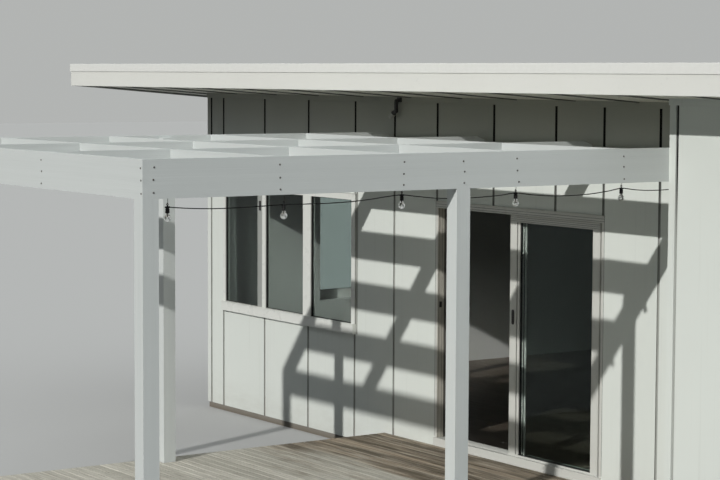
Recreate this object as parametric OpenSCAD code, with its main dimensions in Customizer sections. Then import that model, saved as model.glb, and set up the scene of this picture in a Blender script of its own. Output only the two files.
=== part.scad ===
// Beach house: a low, white, sheet-clad house under one shallow mono-pitch roof,
// with a projecting wing on the right, a sliding glass door, and a white painted
// timber pergola over a boarded deck in the recess beside the wing.
// Origin: ground level under the middle of the main floor slab.
// +X runs along the front to the right, +Y runs into the house, +Z is up.

/* [House plan] */
// Length of the recessed front, from the left corner to the wing
main_l = 7800; // [7700:10:8600]
// Length of the projecting wing
wing_l = 3600; // [3200:10:4200]
// How far the wing stands in front of the recessed front
wing_proj = 515; // [420:5:700]
// Depth of the house, recessed front to back
house_d = 6400; // [5600:50:7600]
// Thickness of a wall's frame with its inside lining
wall_t = 140; // [110:5:200]
// Thickness of the outside sheets
sheet_t = 12; // [9:1:16]
// Width of the open joint between two sheets
joint_w = 30; // [12:1:36]
// Width of the narrow strip of sheet at a corner
corner_strip = 85; // [60:5:120]

/* [House heights] */
// Height of the door sill above the ground
sill_z = 290; // [260:5:380]
// Height of the front wall above the sill, up to the eaves lining
front_h = 3100; // [3020:10:3400]
// Height of door and window heads above the sill
head_h = 2100; // [2000:10:2200]
// Drop of the finished floor below the sill
floor_drop = 30; // [10:5:50]
// Height above the ground at which the sheets start
sheet_base = 60; // [30:5:120]
// Height of the flat trim under the eaves
top_trim_h = 50; // [30:5:90]
// Thickness of the flat trim under the eaves
top_trim_t = 12; // [8:1:20]

/* [Roof] */
// Slope of the roof, down towards the back
roof_pitch = 4.5; // [2:0.5:6]
// Overhang at the recessed front
front_oh = 1120; // [900:10:1300]
// Overhang at the two ends
side_oh = 1000; // [700:10:1200]
// Overhang at the back
back_oh = 600; // [300:10:800]
// Thickness of the eaves and ceiling lining
lining_t = 9; // [6:1:20]
// Depth of a rafter
rafter_h = 170; // [120:5:220]
// Thickness of a rafter
rafter_t = 45; // [35:1:60]
// Number of rafters
rafter_n = 18; // [12:1:21]
// Height of the ribbed roof sheet
roof_sheet_t = 22; // [16:1:30]
// Thickness of fascia and barge boards
fascia_t = 30; // [20:1:40]
// How far fascia and barge boards hang below the eaves lining
fascia_drop = 18; // [10:1:40]
// Height of the metal capping on the boards
cap_h = 79; // [60:1:110]
// How far the capping stands proud of the boards
cap_t = 8; // [4:1:12]
// Width of the capping's top leg
cap_top_w = 90; // [60:5:120]
// Rise of the boards' top above the roof sheet
cap_rise = 10; // [6:1:40]

/* [Front window] */
// Left edge of the window frame
win_x = 355; // [300:5:420]
// Width of the window frame
win_w = 2500; // [2400:1:2560]
// Height of the glass bottom above the sill
win_sill_h = 900; // [800:10:1000]
// Height of the frame's bottom board
win_board_h = 100; // [60:5:120]
// Width of a window frame's head and of plain stiles
win_stile = 60; // [45:5:80]
// Width of the left stile
win_stile_l = 50; // [40:1:80]
// Width of the left mullion
win_mull_1 = 67; // [55:1:120]
// Width of the right mullion, where two sashes overlap
win_mull_2 = 143; // [90:1:160]
// Width of the right stile
win_stile_r = 62; // [50:1:110]
// Width of the left pane
win_pane_1 = 741; // [650:1:780]
// Width of the middle pane
win_pane_2 = 713; // [650:1:780]
// Depth of a window frame
win_depth = 50; // [44:1:110]
// Set-back of the glass from the window frame's front face
glass_back = 25; // [15:1:30]
// How far a window frame stands proud of the sheets
win_proud = 18; // [10:1:30]
// How far a window's bottom board stands proud
board_proud = 40; // [30:1:60]
// Thickness of window and door glass
glass_t = 6; // [4:1:10]

/* [Other windows] */
// Width of each plain two-pane window
plain_w = 1700; // [1500:10:1900]
// Width of its middle mullion
plain_mull = 80; // [60:5:110]

/* [Sliding door] */
// Left edge of the door frame
door_x = 4147; // [4120:1:4190]
// Width of the door frame
door_w = 2331; // [2280:1:2360]
// Thickness of the frame's jambs
jamb_t = 30; // [24:1:40]
// Height of the frame's head
door_head_t = 60; // [40:5:80]
// Depth of the door frame
door_depth = 112; // [108:1:130]
// How far the sill stands proud of the sheets
sill_proud = 15; // [5:1:30]
// Drop of the threshold's front lip below the sill line
lip_drop = 14; // [0:1:30]
// Depth of the track that the leaves stand in, below the sill line
track_d = 63; // [50:1:70]
// Width of a leaf
leaf_w = 1188; // [1150:1:1200]
// Thickness of a leaf
leaf_t = 38; // [30:1:42]
// Width of a leaf's stiles
stile_w = 91; // [70:1:100]
// Height of a leaf's top and bottom rails
rail_h = 58; // [50:1:120]
// Left edge of the sliding leaf, standing open as in use
leaf_open_x = 5212; // [5200:1:5230]
// Running clearance around the sliding leaf
leaf_clear = 5; // [5:1:8]
// Set-back of the sliding leaf from the sheets
leaf_back = 24; // [20:1:30]
// Radius of the sliding leaf's rollers
roller_r = 16; // [12:1:20]
// Height of the handle's lower end above the sill
handle_z = 1140; // [1000:10:1200]
// Length of the handle's plate
handle_l = 130; // [110:5:220]

/* [Pergola] */
// Height of the pergola's top above the sill
perg_top = 2772; // [2740:1:2860]
// Depth of all pergola members
perg_h = 254; // [200:1:290]
// Thickness of all pergola members
perg_t = 45; // [40:1:60]
// Distance between the beams and rafters that stand out from the wall
rafter_step = 1437; // [1300:1:1450]
// Number of bays along the wall
perg_bays = 3; // [2:1:3]
// Distance of the rows of cross members from each other
row_step = 1000; // [900:5:1100]
// Front face of the first row of cross members, from the wall
row_first = 985; // [900:5:1050]
// Number of inner rows of cross members
row_n = 4; // [3:1:5]
// Side of a post
post_w = 116; // [90:1:140]
// Distance of the inner posts' centre lines from the wall
post_inner_y = 2445; // [2300:5:2600]
// Length of the slanting cut on a rafter's top corner at the wall
end_cut_l = 80; // [40:5:120]
// Depth of the slanting cut
end_cut_h = 30; // [15:5:60]

/* [Deck] */
// Drop of the deck's surface below the sill
deck_drop = 90; // [88:1:120]
// Thickness of the deck boards
board_t = 25; // [19:1:35]
// How far the deck reaches past the far posts
deck_far = 98; // [60:2:200]
// How far the deck reaches past the outer beam
deck_front = 110; // [60:5:200]
// How far the deck reaches past the near beam
deck_near = 60; // [50:5:150]
// Clearance around a post in the deck boards
post_clear = 5; // [3:1:10]
// Thickness of deck joists and rims
joist_t = 45; // [35:1:60]
// Number of joists across the boards
joist_n = 10; // [8:1:14]

/* [Wall light] */
// Distance of the sensor light from the left corner
light_x = 3585; // [3300:5:3700]
// Height of the top of the light's base above the sill
light_z = 3096; // [3080:1:3098]

/* [Rainwater] */
// Width of the gutter
gutter_w = 120; // [90:5:150]
// Height of the gutter
gutter_h = 90; // [70:5:120]
// Thickness of the gutter's wall
gutter_t = 4; // [2:1:6]
// Radius of a downpipe
pipe_r = 40; // [30:1:50]

/* [Hidden] */
$fn = 48;
over = 10;
seat_gap = 0.3;
slope_gap = 0.2;
solid_gap = 2;
sill_deck_gap = 2;

house_l = main_l + wing_l;
face_t = wall_t + sheet_t;
floor_z = sill_z - floor_drop;
deck_z = sill_z - deck_drop;
sill_board_h = deck_drop - sill_deck_gap;
door_x1 = door_x + door_w;
tan_p = tan(roof_pitch);

roof_x0 = -side_oh;
roof_x1 = house_l + side_oh;
roof_y0 = -front_oh;
roof_y1 = house_d + back_oh;
rafter_off = lining_t + slope_gap;
roof_sheet_off = rafter_off + rafter_h + slope_gap;
board_top_off = roof_sheet_off + roof_sheet_t + cap_rise;
fascia_h = fascia_drop + board_top_off;

perg_x = main_l;
perg_x0 = perg_x - perg_bays * rafter_step - perg_t;
row_last = row_first + row_n * row_step;
perg_y0 = -row_last;
perg_z1 = sill_z + perg_top;
perg_z0 = perg_z1 - perg_h;
post_near_x = perg_x - post_w;
post_far_x = perg_x0;

deck_x0 = perg_x0 - deck_far;
deck_x1 = perg_x + deck_near;
deck_y0 = perg_y0 - deck_front;

win_z0 = sill_z + win_sill_h - win_board_h;
win_z1 = sill_z + head_h + win_stile;
win_h = win_z1 - win_z0;

sheet_w = 850;
// The joint by the window's right stile runs behind its frame
win_joint_back = 23;
front_joints = joints_from([corner_strip, win_x - joint_w / 2, win_x + win_w - win_joint_back, door_x]);
door_joints = [door_x + sheet_w, door_x + 2 * sheet_w];
right_joints = [(door_x1 + main_l) / 2];

wing_win_x = (wing_l - plain_w) / 2;
left_win_x = [3350];
right_win_x = [2400];
back_win_x = [1500, 8000];

white_wall = [0.86, 0.87, 0.85];
white_trim = [0.93, 0.93, 0.91];
white_paint = [0.84, 0.86, 0.87];

// Height of the underside of the eaves lining at a distance y behind the front
function lining_z(y) = sill_z + front_h - y * tan_p;

// Everything is drawn from the house's left front corner and placed here
module placed() {
    translate([-house_l / 2, -house_d / 2, 0]) children();
}

// A wall's own axes: x along it, y into the house, z up
module on_wing() {
    translate([main_l, -wing_proj, 0]) children();
}

module on_back() {
    translate([house_l, house_d, 0]) rotate([0, 0, 180]) children();
}

module on_left() {
    translate([0, house_d, 0]) rotate([0, 0, -90]) children();
}

module on_right() {
    translate([house_l, -wing_proj, 0]) rotate([0, 0, 90]) children();
}

// A profile in the plane of y and z, drawn along x
module along_x(x0, x1) {
    translate([x0, 0, 0]) rotate([90, 0, 90]) linear_extrude(x1 - x0) children();
}

// An upright block from z0 to the sloping underside of the roof, plus a lift
module under_roof(x0, x1, y0, y1, z0, lift = 0) {
    along_x(x0, x1)
        polygon([[y0, z0], [y1, z0], [y1, lining_z(y1) + lift], [y0, lining_z(y0) + lift]]);
}

// A slab that follows the roof's slope, from a height above the lining's underside
module roof_slab(x0, x1, y0, y1, off, t) {
    along_x(x0, x1)
        polygon([[y0, lining_z(y0) + off], [y1, lining_z(y1) + off],
                 [y1, lining_z(y1) + off + t], [y0, lining_z(y0) + off + t]]);
}

// A hole for a window or door, right through a wall, in the wall's own axes
module wall_hole(x, w, z0, z1) {
    translate([x, -over, z0]) cube([w, face_t + 2 * over, z1 - z0]);
}

// One upright strip of sheet between two joints, in the axes of a level wall
module sheet_strip(x0, x1, z1) {
    translate([x0, 0, sheet_base]) cube([x1 - x0, sheet_t, z1 - sheet_base]);
}

// Sheets of one level wall: joints is the list of joint centres between the ends
module sheets(x0, x1, joints, z1) {
    ends = concat([x0 - joint_w / 2], joints, [x1 + joint_w / 2]);
    for (i = [0:len(ends) - 2])
        sheet_strip(ends[i] + joint_w / 2, ends[i + 1] - joint_w / 2, z1);
}

// Joint centres from a up to, but not at, b, about a sheet's width apart
function bays(a, b) =
    let (n = max(1, round((b - a) / sheet_w))) [for (i = [0:n - 1]) a + i * (b - a) / n];

// Joint centres through a list of places that each need a joint, but the last
function joints_from(v) = [for (i = [0:len(v) - 2]) each bays(v[i], v[i + 1])];

// Joint centres of a wall with plain windows that start at xs
function window_joints(l, xs) =
    concat(joints_from(concat([corner_strip],
                              [for (x = xs) each [x - joint_w / 2, x + plain_w + joint_w / 2]],
                              [l - corner_strip])),
           [l - corner_strip]);

// Frame of a window with any panes, at its lower left corner: a list of pane widths
// and a list of the stiles between and beside them
module window_frame(stiles, panes, h) {
    w = total(stiles) + total(panes);
    difference() {
        union() {
            translate([0, -win_proud, 0]) cube([w, win_depth, h]);
            translate([0, -board_proud, 0]) cube([w, board_proud, win_board_h]);
        }
        for (i = [0:len(panes) - 1])
            translate([pane_x(stiles, panes, i), -board_proud - over, win_board_h])
                cube([panes[i], win_depth + 2 * board_proud, h - win_board_h - win_stile]);
    }
}

// The glass of the same window
module window_glass(stiles, panes, h) {
    for (i = [0:len(panes) - 1])
        translate([pane_x(stiles, panes, i), glass_back - win_proud, win_board_h])
            cube([panes[i], glass_t, h - win_board_h - win_stile]);
}

function total(v, i = 0) = i >= len(v) ? 0 : v[i] + total(v, i + 1);
function part_sum(v, n, i = 0) = i >= n ? 0 : v[i] + part_sum(v, n, i + 1);
function pane_x(stiles, panes, i) = part_sum(stiles, i + 1) + part_sum(panes, i);

front_panes = [win_pane_1, win_pane_2,
               win_w - win_stile_l - win_mull_1 - win_mull_2 - win_stile_r - win_pane_1 - win_pane_2];
front_stiles = [win_stile_l, win_mull_1, win_mull_2, win_stile_r];
plain_pane = (plain_w - 2 * win_stile - plain_mull) / 2;
plain_panes = [plain_pane, plain_pane];
plain_stiles = [win_stile, plain_mull, win_stile];

// Every plain window in its place
module at_plain_windows() {
    on_wing() translate([wing_win_x, 0, win_z0]) children();
    for (x = left_win_x)
        on_left() translate([x, 0, win_z0]) children();
    for (x = right_win_x)
        on_right() translate([x, 0, win_z0]) children();
    for (x = back_win_x)
        on_back() translate([x, 0, win_z0]) children();
}

module plain_holes(xs) {
    for (x = xs) wall_hole(x, plain_w, win_z0, win_z1);
}

// House shell

module floor_slab() {
    color([0.62, 0.60, 0.57]) placed() {
        difference() {
            union() {
                translate([sheet_t, sheet_t, 0])
                    cube([house_l - 2 * sheet_t, house_d - 2 * sheet_t, floor_z]);
                translate([main_l + sheet_t, sheet_t - wing_proj, 0])
                    cube([wing_l - 2 * sheet_t, wing_proj, floor_z]);
            }
            translate([door_x, sheet_t - over, sill_z - sill_board_h])
                cube([door_w, door_depth - sheet_t + over, sill_board_h]);
        }
    }
}

module front_wall_left() {
    color(white_wall) placed() {
        difference() {
            under_roof(sheet_t, door_x, sheet_t, face_t, floor_z, lining_t);
            wall_hole(win_x, win_w, win_z0, win_z1);
        }
    }
}

module front_wall_over_door() {
    color(white_wall) placed()
        under_roof(door_x, door_x1, sheet_t, face_t, sill_z + head_h + door_head_t, lining_t);
}

module front_wall_right() {
    color(white_wall) placed()
        under_roof(door_x1, main_l + sheet_t, sheet_t, face_t, floor_z, lining_t);
}

module wing_front_wall() {
    color(white_wall) placed() {
        difference() {
            under_roof(main_l + sheet_t, house_l - sheet_t, sheet_t - wing_proj, face_t - wing_proj,
                       floor_z, lining_t);
            on_wing() plain_holes([wing_win_x]);
        }
    }
}

module wing_return_wall() {
    color(white_wall) placed()
        under_roof(main_l + sheet_t, main_l + face_t, face_t - wing_proj, face_t, floor_z, lining_t);
}

module left_wall() {
    color(white_wall) placed() {
        difference() {
            under_roof(sheet_t, face_t, face_t, house_d - face_t, floor_z, lining_t);
            on_left() plain_holes(left_win_x);
        }
    }
}

module right_wall() {
    color(white_wall) placed() {
        difference() {
            under_roof(house_l - face_t, house_l - sheet_t, face_t - wing_proj, house_d - face_t,
                       floor_z, lining_t);
            on_right() plain_holes(right_win_x);
        }
    }
}

module back_wall() {
    color(white_wall) placed() {
        difference() {
            under_roof(sheet_t, house_l - sheet_t, house_d - face_t, house_d - sheet_t,
                       floor_z, lining_t);
            on_back() plain_holes(back_win_x);
        }
    }
}

// Outside sheets with open joints

module cladding_front() {
    color(white_wall) placed() {
        difference() {
            union() {
                sheets(0, door_x, front_joints, lining_z(0));
                sheets(door_x + joint_w, door_x1 - joint_w, door_joints, lining_z(0));
                sheets(door_x1, main_l, right_joints, lining_z(0));
            }
            wall_hole(win_x, win_w, win_z0, win_z1);
            wall_hole(door_x, door_w, 0, sill_z + head_h + door_head_t);
            eaves_cut();
        }
    }
}

module cladding_wing() {
    color(white_wall) placed() {
        difference() {
            union() {
                on_wing() sheets(0, wing_l, window_joints(wing_l, [wing_win_x]), lining_z(-wing_proj));
                under_roof(main_l, main_l + sheet_t, sheet_t - wing_proj + solid_gap, 0, sheet_base);
            }
            on_wing() plain_holes([wing_win_x]);
            eaves_cut();
        }
    }
}

// Everything above the sloping underside of the lining
module eaves_cut() {
    roof_slab(-over, house_l + over, -wing_proj - over, house_d + over, -slope_gap, front_h);
}

module cladding_left() {
    color(white_wall) placed() {
        difference() {
            on_left() sheets(sheet_t, house_d - sheet_t, window_joints(house_d, left_win_x), lining_z(0));
            on_left() plain_holes(left_win_x);
            eaves_cut();
        }
    }
}

module cladding_right() {
    l = house_d + wing_proj;
    color(white_wall) placed() {
        difference() {
            on_right() sheets(sheet_t, l - sheet_t, window_joints(l, right_win_x), lining_z(-wing_proj));
            on_right() plain_holes(right_win_x);
            eaves_cut();
        }
    }
}

module cladding_back() {
    color(white_wall) placed() {
        difference() {
            on_back() sheets(0, house_l, window_joints(house_l, back_win_x), lining_z(house_d - sheet_t));
            on_back() plain_holes(back_win_x);
            eaves_cut();
        }
    }
}

module wall_top_trim() {
    color(white_trim) placed() {
        trim_strip(0, main_l - top_trim_t - solid_gap, -top_trim_t, 0);
        trim_strip(main_l - top_trim_t, main_l, -wing_proj, 0);
        trim_strip(main_l, house_l, -wing_proj - top_trim_t, -wing_proj);
        trim_strip(-top_trim_t, 0, solid_gap, house_d);
        trim_strip(house_l, house_l + top_trim_t, -wing_proj + solid_gap, house_d);
        trim_strip(solid_gap, house_l - solid_gap, house_d, house_d + top_trim_t);
    }
}

module trim_strip(x0, x1, y0, y1) {
    roof_slab(x0, x1, y0, y1, -slope_gap - top_trim_h, top_trim_h);
}

// Windows

module front_window_frame() {
    color(white_trim) placed()
        translate([win_x, 0, win_z0]) window_frame(front_stiles, front_panes, win_h);
}

module front_window_glass() {
    color([0.35, 0.42, 0.45, 0.5]) placed()
        translate([win_x, 0, win_z0]) window_glass(front_stiles, front_panes, win_h);
}

module other_window_frames() {
    color(white_trim) placed()
        at_plain_windows() window_frame(plain_stiles, plain_panes, win_h);
}

module other_window_glass() {
    color([0.35, 0.42, 0.45, 0.5]) placed()
        at_plain_windows() window_glass(plain_stiles, plain_panes, win_h);
}

// Sliding door

fixed_leaf_x = door_x1 - jamb_t - leaf_w;
track_z = sill_z - track_d;
leaf_z0 = track_z + leaf_clear;
leaf_z1 = sill_z + head_h - leaf_clear;
fixed_back = leaf_back + leaf_t + leaf_clear;
lip_z1 = sill_z - lip_drop;

// Jambs and head over a threshold with a low front lip and a track between its lips
module door_frame() {
    z0 = sill_z - sill_board_h;
    z1 = sill_z + head_h + door_head_t;
    between = door_w - 2 * jamb_t - 2 * slope_gap;
    color(white_trim) placed() {
        for (x = [door_x, door_x1 - jamb_t])
            translate([x, 0, track_z + slope_gap]) cube([jamb_t, door_depth, z1 - track_z - slope_gap]);
        translate([door_x + jamb_t + slope_gap, 0, sill_z + head_h])
            cube([between, door_depth, door_head_t]);
        translate([door_x, -sill_proud, z0]) cube([door_w, door_depth + sill_proud, track_z - z0]);
        translate([door_x, -sill_proud, track_z + slope_gap])
            cube([door_w, sill_proud - slope_gap, lip_z1 - track_z - slope_gap]);
        translate([door_x + jamb_t + slope_gap, 0, track_z + slope_gap])
            cube([between, leaf_back - leaf_clear, lip_z1 - track_z - slope_gap]);
        translate([door_x + jamb_t + slope_gap, fixed_back + leaf_t + slope_gap, track_z + slope_gap])
            cube([between, door_depth - fixed_back - leaf_t - slope_gap, track_d - slope_gap]);
    }
}

// One leaf without its glass, at its lower left corner
module leaf_frame(h) {
    difference() {
        cube([leaf_w, leaf_t, h]);
        translate([stile_w, -over, rail_h])
            cube([leaf_w - 2 * stile_w, leaf_t + 2 * over, h - 2 * rail_h]);
    }
}

module leaf_glass(h) {
    translate([stile_w, (leaf_t - glass_t) / 2, rail_h])
        cube([leaf_w - 2 * stile_w, glass_t, h - 2 * rail_h]);
}

module fixed_leaf_frame() {
    color(white_trim) placed()
        translate([fixed_leaf_x, fixed_back, track_z]) leaf_frame(head_h + track_d);
}

module fixed_leaf_glass() {
    color([0.30, 0.36, 0.40, 0.5]) placed()
        translate([fixed_leaf_x, fixed_back, track_z]) leaf_glass(head_h + track_d);
}

module sliding_leaf_frame() {
    color(white_trim) placed() {
        difference() {
            translate([leaf_open_x, leaf_back, leaf_z0]) leaf_frame(leaf_z1 - leaf_z0);
            for (x = roller_x) roller(x, leaf_t - 2 * roller_side + 1, roller_r + 1);
        }
        for (x = roller_x) roller_axle(x);
        for (x = roller_x) roller(x, leaf_t - 2 * roller_side, roller_r);
    }
}

roller_side = 13;
roller_axle_r = 4;
roller_x = [leaf_open_x + stile_w + roller_r, leaf_open_x + leaf_w - stile_w - roller_r];

// A roller that carries the leaf on the bottom of the track
module roller(x, w, r) {
    translate([x, leaf_back + leaf_t / 2 + w / 2, track_z + seat_gap + roller_r])
        rotate([90, 0, 0]) cylinder(r = r, h = w);
}

module roller_axle(x) {
    translate([x, leaf_back + leaf_t - roller_side / 2, track_z + seat_gap + roller_r])
        rotate([90, 0, 0]) cylinder(r = roller_axle_r, h = leaf_t - roller_side);
}

module sliding_leaf_glass() {
    color([0.30, 0.36, 0.40, 0.5]) placed()
        translate([leaf_open_x, leaf_back, leaf_z0]) leaf_glass(leaf_z1 - leaf_z0);
}

handle_w = 32;
handle_plate_t = 6;
handle_grip_t = 12;
handle_reach = 22;
handle_grip_l = 90;

module door_handle() {
    color([0.08, 0.08, 0.09]) placed()
        translate([leaf_open_x + (stile_w - handle_w) / 2, leaf_back, sill_z + handle_z]) {
            translate([0, -handle_plate_t, 0]) cube([handle_w, handle_plate_t, handle_l]);
            translate([handle_w - handle_grip_t, -handle_reach, (handle_l - handle_grip_l) / 2])
                cube([handle_grip_t, handle_reach, handle_grip_l]);
        }
}

// Roof

module ceiling_lining() {
    color(white_wall) placed() {
        roof_slab(face_t, house_l - face_t, face_t, house_d - face_t, 0, lining_t);
        roof_slab(main_l + face_t, house_l - face_t, face_t - wing_proj, face_t - solid_gap,
                  0, lining_t);
    }
}

module eaves_lining() {
    x0 = roof_x0 + fascia_t;
    x1 = roof_x1 - fascia_t;
    y0 = roof_y0 + fascia_t;
    y1 = roof_y1 - fascia_t;
    color(white_paint) placed() {
        roof_slab(x0, x1, y0, -wing_proj - solid_gap, 0, lining_t);
        roof_slab(x0, main_l, -wing_proj, -solid_gap, 0, lining_t);
        roof_slab(main_l + solid_gap, x1, -wing_proj, sheet_t - wing_proj, 0, lining_t);
        roof_slab(x0, main_l + sheet_t, 0, sheet_t, 0, lining_t);
        roof_slab(x0, sheet_t, sheet_t + solid_gap, y1, 0, lining_t);
        roof_slab(house_l - sheet_t, x1, sheet_t - wing_proj + solid_gap, y1, 0, lining_t);
        roof_slab(sheet_t + solid_gap, house_l - sheet_t - solid_gap, house_d - sheet_t, y1,
                  0, lining_t);
    }
}

module roof_rafters() {
    first = roof_x0 + fascia_t;
    step = (roof_x1 - fascia_t - rafter_t - first) / (rafter_n - 1);
    color([0.72, 0.60, 0.42]) placed()
        for (i = [0:rafter_n - 1])
            roof_slab(first + i * step, first + i * step + rafter_t,
                      roof_y0 + fascia_t, roof_y1 - fascia_t, rafter_off, rafter_h);
}

module roof_sheet() {
    color([0.80, 0.82, 0.82]) placed()
        roof_slab(roof_x0 + fascia_t, roof_x1 - fascia_t, roof_y0 + fascia_t, roof_y1 + sheet_drip,
                  roof_sheet_off, roof_sheet_t);
}

module front_fascia() {
    color(white_trim) placed()
        roof_slab(roof_x0 + fascia_t, roof_x1 - fascia_t, roof_y0, roof_y0 + fascia_t,
                  -fascia_drop, fascia_h);
}

module barge_boards() {
    color(white_trim) placed()
        for (x = [roof_x0, roof_x1 - fascia_t])
            roof_slab(x, x + fascia_t, roof_y0, roof_y1, -fascia_drop, fascia_h);
}

module rear_fascia() {
    color(white_trim) placed()
        roof_slab(roof_x0 + fascia_t, roof_x1 - fascia_t, roof_y1 - fascia_t, roof_y1,
                  -fascia_drop, fascia_drop + roof_sheet_off - slope_gap);
}

cap_leaf_t = 4;

module roof_capping() {
    color(white_trim) placed() {
        front_cap();
        for (side = [0, 1]) side_cap(side);
    }
}

// Metal capping over the front board: a face with a leaf behind its top edge
module front_cap() {
    z0 = lining_z(roof_y0) + board_top_off + slope_gap;
    x0 = roof_x0 + cap_top_w + solid_gap;
    x1 = roof_x1 - cap_top_w - solid_gap;
    translate([roof_x0 - cap_t, roof_y0 - cap_t, z0 + cap_leaf_t - cap_h])
        cube([roof_x1 - roof_x0 + 2 * cap_t, cap_t, cap_h]);
    roof_slab(x0, x1, roof_y0 + slope_gap, roof_y0 + cap_top_w - cap_t, board_top_off + slope_gap,
              cap_leaf_t);
}

// Metal capping over a sloping end board
module side_cap(side) {
    flap_w = cap_top_w - cap_t - slope_gap;
    x = side == 0 ? roof_x0 - cap_t : roof_x1;
    top_x = side == 0 ? roof_x0 + slope_gap : roof_x1 - slope_gap - flap_w;
    y0 = roof_y0 + solid_gap;
    off = board_top_off + slope_gap;
    roof_slab(x, x + cap_t, y0, roof_y1, off + cap_leaf_t - cap_h, cap_h);
    roof_slab(top_x, top_x + flap_w, y0, roof_y1, off, cap_leaf_t);
}

// Rainwater

sheet_drip = 40;
gutter_drop = 10;
gutter_y = roof_y1;
gutter_z = lining_z(roof_y1) + roof_sheet_off - gutter_drop - gutter_h;

module rear_gutter() {
    color(white_trim) placed()
        difference() {
            translate([roof_x0, gutter_y, gutter_z])
                cube([roof_x1 - roof_x0, gutter_w, gutter_h]);
            translate([roof_x0 + gutter_t, gutter_y + gutter_t, gutter_z + gutter_t])
                cube([roof_x1 - roof_x0 - 2 * gutter_t, gutter_w - 2 * gutter_t, gutter_h]);
        }
}

pipe_side_gap = 400;
pipe_wall_gap = 30;
pipe_slant = 60;
elbow_t = 5;
elbow_r = pipe_r + elbow_t;

// A downpipe leaves the gutter, slants back under the eaves and runs down the back wall
module downpipes() {
    wall_y = house_d + top_trim_t + pipe_wall_gap + pipe_r;
    out_y = gutter_y + gutter_w / 2;
    upper_z = lining_z(roof_y1) - fascia_drop - elbow_r - over;
    lower_z = upper_z - (out_y - wall_y) / tan(pipe_slant);
    color(white_trim) placed()
        for (x = [pipe_side_gap, house_l - pipe_side_gap]) {
            translate([x, wall_y, 0]) cylinder(r = pipe_r, h = lower_z);
            translate([x, wall_y, lower_z]) rotate([-pipe_slant, 0, 0])
                cylinder(r = pipe_r, h = (out_y - wall_y) / sin(pipe_slant));
            translate([x, out_y, upper_z]) cylinder(r = pipe_r, h = gutter_z - upper_z);
            translate([x, wall_y, lower_z]) sphere(r = elbow_r);
            translate([x, out_y, upper_z]) sphere(r = elbow_r);
            pipe_clip(x, wall_y, lower_z / 4);
            pipe_clip(x, wall_y, lower_z * 3 / 4);
        }
}

clip_h = 30;
clip_t = 3;

// A band round a downpipe, with its block against the wall
module pipe_clip(x, y, z) {
    translate([x, y, z]) cylinder(r = pipe_r + clip_t, h = clip_h);
    translate([x - clip_h / 2, house_d, z]) cube([clip_h, y - house_d, clip_h]);
}

// Pergola

// A post with a tongue that rises beside the beam it carries
module post(x, y, tongue_x) {
    translate([x, y, 0]) cube([post_w, post_w, perg_z0]);
    translate([tongue_x, y, perg_z0]) cube([post_w - perg_t, post_w, perg_h - tongue_drop]);
}

tongue_drop = 20;

// An outer post is cut back on a second side, for the outer beam
module outer_post(x, tongue_x) {
    difference() {
        post(x, perg_y0, tongue_x);
        translate([x - over, perg_y0 - over, perg_z0])
            cube([post_w + 2 * over, perg_t + over, perg_h]);
    }
}

module near_posts() {
    color(white_paint) placed() {
        outer_post(post_near_x, post_near_x);
        post(post_near_x, -post_inner_y - post_w / 2, post_near_x);
    }
}

module far_posts() {
    color(white_paint) placed() {
        outer_post(post_far_x, post_far_x + perg_t);
        post(post_far_x, -post_inner_y - post_w / 2, post_far_x + perg_t);
    }
}

// A beam or rafter that stands out from the wall, with its slanting cut at the wall
module out_member(x, y0, y1) {
    along_x(x, x + perg_t)
        polygon([[y0, perg_z0], [y1, perg_z0], [y1, perg_z1 - end_cut_h],
                 [y1 - end_cut_l, perg_z1], [y0, perg_z1]]);
}

module near_beam() {
    color(white_paint) placed() out_member(perg_x - perg_t, perg_y0 + perg_t, -perg_t);
}

module far_beam() {
    color(white_paint) placed() out_member(perg_x0, perg_y0 + perg_t, -perg_t);
}

module pergola_rafters() {
    color(white_paint) placed()
        for (i = [1:perg_bays - 1])
            out_member(perg_x - perg_t - i * rafter_step, perg_y0 + perg_t, -perg_t);
}

module outer_beam() {
    color(white_paint) placed()
        translate([perg_x0, perg_y0, perg_z0]) cube([perg_x - perg_x0, perg_t, perg_h]);
}

ledger_drop = 45;

module wall_ledger() {
    color(white_paint) placed()
        translate([perg_x0, -perg_t, perg_z0])
            cube([perg_x - perg_x0, perg_t, perg_h - ledger_drop]);
}

module cross_members() {
    color(white_paint) placed()
        for (row = [0:row_n - 1], bay = [0:perg_bays - 1])
            translate([perg_x - (bay + 1) * rafter_step, -row_first - row * row_step, perg_z0])
                cube([rafter_step - perg_t, perg_t, perg_h]);
}

// Deck

module deck_outline(inset = 0) {
    x0 = deck_x0 + inset;
    x1 = deck_x1 - inset;
    y0 = deck_y0 + inset;
    polygon([[x0, y0], [x1, y0], [x1, -wing_proj - inset - solid_gap],
             [main_l - inset, -wing_proj - inset - solid_gap], [main_l - inset, -inset], [x0, -inset]]);
}

module post_holes(clear) {
    for (x = [post_near_x, post_far_x], y = [perg_y0, -post_inner_y - post_w / 2])
        translate([x - clear, y - clear, -over])
            cube([post_w + 2 * clear, post_w + 2 * clear, sill_z + over]);
}

module deck_boards() {
    color([0.47, 0.42, 0.38]) placed()
        difference() {
            translate([0, 0, deck_z - board_t]) linear_extrude(board_t) deck_outline();
            post_holes(post_clear);
        }
}

joist_h = deck_z - board_t;

// Joists run out from the wall, notched round the near posts
module deck_joists() {
    span = main_l - joist_t - deck_x0;
    color([0.40, 0.34, 0.28]) placed()
        difference() {
            for (i = [0:joist_n - 1])
                translate([deck_x0 + i * span / (joist_n - 1), deck_y0 + joist_t, 0])
                    cube([joist_t, -deck_y0 - joist_t, joist_h]);
            post_holes(post_clear);
        }
}

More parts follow.
